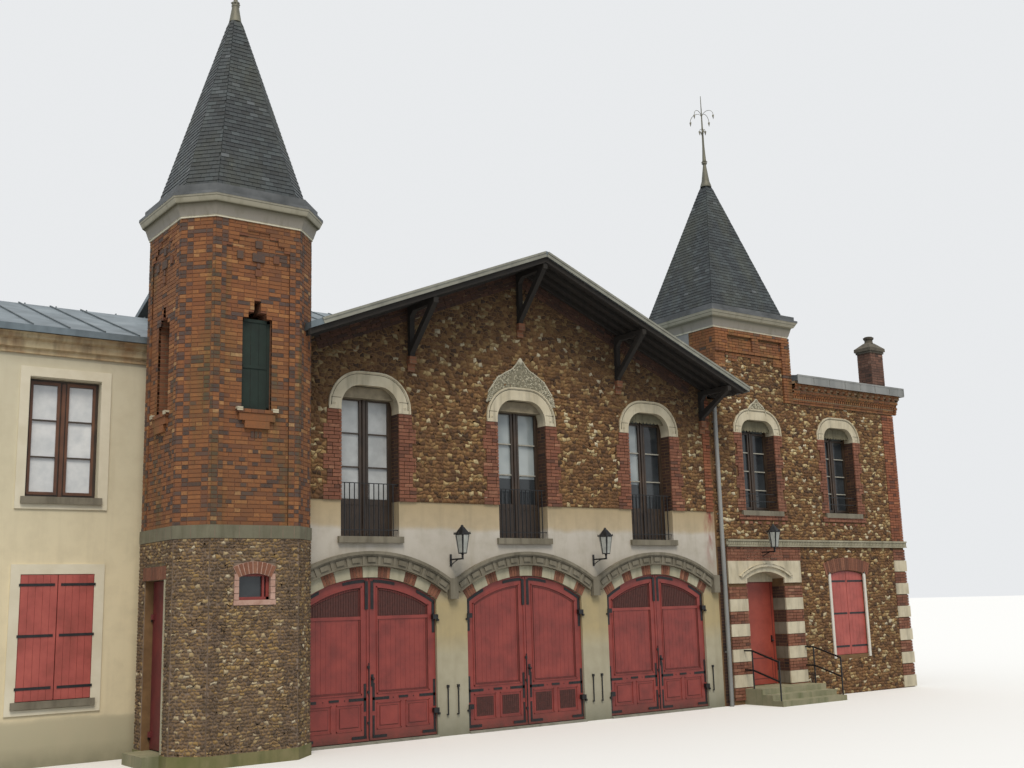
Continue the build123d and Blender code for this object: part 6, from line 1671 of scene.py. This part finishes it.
# Lanterns: panes and frames
LAMP_Y = -0.43
lamps = new_shape()
lamp_glass = new_shape()
for x, z in ((-1.84, 3.33), (1.84, 3.33), (7.18, 3.50)):
    foot = z + 0.11
    for index in range(6):
        turn = math.radians(60 * index + 30)
        out = Vector((math.cos(turn), math.sin(turn), 0))
        side = UP.cross(out)
        lean = (out * 0.053 + UP * 0.34).normalized()
        at = Matrix.Translation(Vector((x, LAMP_Y, foot + 0.02)) + out * 0.082) @ Matrix(
            (side, lean, side.cross(lean))).transposed().to_4x4()
        made = box_in(lamp_glass, at, -0.032, 0.032, 0, 0.34 * 1.01, -0.002, 0.003)
        reshape(at, made, lambda x, y, z: (x * 1.72 if y > 0.2 else x, y, z))
    for radius, z0, z1 in ((0.030, foot - 0.02, foot + 0.01), (0.035, foot + 0.52, foot + 0.56)):
        drum(lamps, Matrix.Translation((x, LAMP_Y, (z0 + z1) / 2)), radius, radius * 0.6, z1 - z0, 12)
    for index in range(12):
        turn = math.radians(30 * index)
        spot = Matrix.Translation((x + 0.16 * math.cos(turn), LAMP_Y + 0.16 * math.sin(turn), foot + 0.40))
        drum(lamps, spot, 0.014, 0.002, 0.05, 6)
    brace = facing((x, -0.02, z - 0.10), SOUTH)
    for a, b in cut(0, 0.36, 8):
        made = box_in(lamps, brace, a, b + 0.005, 0, 0.016, -0.006, 0.006)
        reshape(brace, made, lambda x, y, z: (x, y + 0.11 * math.sin(math.pi / 2 * x / 0.36), z))
piece("lantern_crowns", lamps, [IRON])
piece("lantern_panes", lamp_glass, [PALE_PANE])

# Finials: a ring of leaves on each lead cap, curled stems with hanging leaves on the taller one
rings = new_shape()


def leaf(bm, at, size):
    """A pointed metal leaf that hangs from its own origin."""
    for turn in (0, 1.57):
        flat = Matrix.Rotation(turn, 4, "Z") @ Matrix.Diagonal((1, 0.35, 1, 1))
        hung = flat @ Matrix.Rotation(math.pi, 4, "X") @ Matrix.Translation((0, 0, size / 2))
        drum(bm, at @ hung, size * 0.30, 0.002, size, 5)


for middle_at, level, reach in ((TOWER_MID, spire_high + 0.38, 0.085),
                                (square_mid, square_high + 0.70, 0.075)):
    for turn in range(6):
        spot = (Matrix.Translation((middle_at.x, middle_at.y, level))
                @ Matrix.Rotation(math.radians(60 * turn), 4, "Z"))
        leaf(rings, spot @ Matrix.Translation((reach, 0, 0)) @ Matrix.Rotation(2.6, 4, "Y"), 0.06)
for level, reach, rise, lift in ((15.22, 0.36, 0.16, 0.0), (14.86, 0.075, 0.04, 0.78)):
    for turn in range(4):
        at = (Matrix.Translation((square_mid.x, square_mid.y, level))
              @ Matrix.Rotation(math.radians(90 * turn + 12) + lift, 4, "Z"))
        for a, b in cut(0, 1.08 * math.pi, 10):
            start = Vector((reach / 2 * (1 - math.cos(a)), 0, rise * math.sin(a)))
            end = Vector((reach / 2 * (1 - math.cos(b)), 0, rise * math.sin(b)))
            lean = math.atan2(end.z - start.z, end.x - start.x)
            box_in(rings, at @ Matrix.Translation(start) @ Matrix.Rotation(-lean, 4, "Y"), 0,
                   (end - start).length, -0.005, 0.005, -0.005, 0.005)
        leaf(rings, at @ Matrix.Translation((reach, 0, -0.02)), 0.12)
for face in rings.faces:
    face.smooth = True
piece("finial_leaves", rings, [LEAD])

# Left wing: bands round the windows
trim = new_shape()
wing = on_front(0, LEFT_WALL_Y)
x0, x1, band = -9.70, -8.14, 0.17
for low, high in ((4.37, 6.76), (0.94, 3.34)):
    boxes(trim, wing, ((x0, x0 + 0.16, low, high - band), (x1 - band, x1, low, high - band),
                       (x0, x1, high - band, high), (x0, x1, low - 0.09, low)), 0, 0.025)
piece("left_wing_window_bands", trim, [PALE_RENDER])

# Vertical joints of the stair tower's stone band
joints = new_shape()
for name in ("left", "front_left", "front", "front_right"):
    at, width = TOWER[name]
    for x in (0.3,) if width < 1 else (0.07, 0.50, 0.86, 1.07, 1.29, 1.50):
        box_in(joints, at, x - 0.005, x + 0.005, BASE_Z1 + 0.01, SHAFT_Z0 - 0.01, 0.02, 0.0312)
piece("band_joints", joints, [GREY_MORTAR])

# Materials of the CAD nodes
dress(BRICK_MORTAR, "right_cornice")
dress(CAP_MORTAR, "chimney")
dress(MORTAR, "gable_wall", "right_wing_lower", "right_wing_upper")
dress(RUBBLE_FACE, "central_side_walls", "central_rear_wall", "right_wing_walls")
dress(BASE_FACE, "tower_base_back", "tower_door_head")
dress(GREY_MORTAR, "tower_base_front")
dress(MORTAR, "tower_door_jambs")
dress(BRICK_FACE, "square_tower", "tower_shaft", "bracket_corbels")
dress(ARCH_RENDER, "arch_wall", "coach_piers")
dress(WING_RENDER, "left_wing_front", "left_wing_walls")
dress(LIMESTONE, "arch_rings", "entrance_head", "window_heads")
dress(CREST_GROUND, "window_crests")
dress(CORNICE, "tower_cornices")
dress(HOOD_STONE, "hood_moulds", "window_sills")
dress(BAND_STONE, "tower_band")
dress(STRING_STONE, "string_course")
dress(STEP_STONE, "entrance_steps")
dress(GREY_STONE, "threshold_stones")
dress(SLATE, "square_spire", "tower_spire")
dress(GUTTER_ZINC, "tower_gutters")
dress(LEAD, "finials")
dress(ZINC, "left_wing_roof", "right_wing_roof")
dress(PIPE_ZINC, "downpipe")
dress(ROOF_ZINC, "central_roof")
dress(TIMBER, "roof_brackets", "roof_rafters")
dress(MOSSY_STONE, "tower_plinth")
dress(EAVES_RENDER, "left_eaves")
dress(LIMESTONE, "entrance_surround")
dress(FLOOR_BOARDS, "upper_floors")
dress(IRON, "iron_rails", "wall_lanterns", "door_pins")
dress(BROWN_PAINT, "window_frames")
dress(GLASS, "window_glass")
dress(ENTRANCE_PAINT, "entrance_door", "entrance_door_frame")
dress(SHADED_DOOR_PAINT, "tower_door")
dress(RED_PAINT, "shutters")
for number in (1, 2, 3):
    dress(RED_PAINT, "coach_door_%d_left" % number, "coach_door_%d_right" % number)

# Floor and light


def seen_directly(tree):
    """1 where the eye, a reflection or a pane sees it, 0 where it only lights the scene."""
    rays = put(tree, "ShaderNodeLightPath").outputs
    first = put(tree, "ShaderNodeMath", {"operation": "MAXIMUM"},
                {0: rays["Is Camera Ray"], 1: rays["Is Glossy Ray"]}).outputs[0]
    return put(tree, "ShaderNodeMath", {"operation": "MAXIMUM"},
               {0: first, 1: rays["Is Transmission Ray"]}).outputs[0]


def floor_material():
    """A pale matt floor to the eye that sends back no more light than worn paving does."""
    material, tree, shader, _ = start_material("pale matt floor", 0.9)
    tree.links.new(mixed(tree, seen_directly(tree), linear("#98958f"), linear("#e5e5e3")),
                   shader.inputs["Base Color"])
    return material


floor_mesh = bpy.data.meshes.new("floor")
bm = bmesh.new()
bmesh.ops.create_grid(bm, x_segments=1, y_segments=1, size=400)
bm.to_mesh(floor_mesh)
bm.free()
floor = show("floor", floor_mesh)
floor.location.z = -0.001
floor_mesh.materials.append(floor_material())

world = bpy.data.worlds.new("soft sky")
bpy.context.scene.world = world
world.use_nodes = True
sky = world.node_tree
sky.nodes.clear()
direct = seen_directly(sky)
soft = put(sky, "ShaderNodeBackground", None, {"Color": linear("#dfe6ee"), "Strength": 0.95})
pale = put(sky, "ShaderNodeBackground", None, {"Color": linear("#eef0f2"), "Strength": 0.95})
both = put(sky, "ShaderNodeMixShader", None, {0: direct, 1: soft.outputs[0], 2: pale.outputs[0]})
put(sky, "ShaderNodeOutputWorld", None, {"Surface": both.outputs[0]})

sun_data = bpy.data.lights.new("soft sun", "SUN")
sun_data.energy = 2.2
sun_data.angle = math.radians(25)
sun_data.color = linear("#fff4e4")[:3]
sun = show("soft sun", sun_data)
sun.rotation_euler = Vector((0.32, 0.66, -1.05)).to_track_quat("-Z", "Y").to_euler()

# Camera, as the photo was taken: eye height, turned right, tilted up, slightly rolled
camera_data = bpy.data.cameras.new("camera")
camera_data.sensor_width = 36.0
camera_data.lens = 1166.0 / 1024 * 36.0
camera_data.clip_end = 500.0
camera = show("camera", camera_data)
yaw, pitch_up, roll = math.radians(36.48), math.radians(10.62), math.radians(-1.58)
look = Vector((math.sin(yaw) * math.cos(pitch_up), math.cos(yaw) * math.cos(pitch_up), math.sin(pitch_up)))
right_0 = look.cross(UP).normalized()
up_0 = right_0.cross(look)
up_1 = up_0 * math.cos(roll) - right_0 * math.sin(roll)
right_1 = look.cross(up_1).normalized()
turn = Matrix((right_1, up_1, -look)).transposed().to_4x4()
camera.matrix_world = Matrix.Translation((-14.63, -19.5, 2.476)) @ turn
bpy.context.scene.camera = camera
bpy.context.scene.view_settings.view_transform = "Standard"
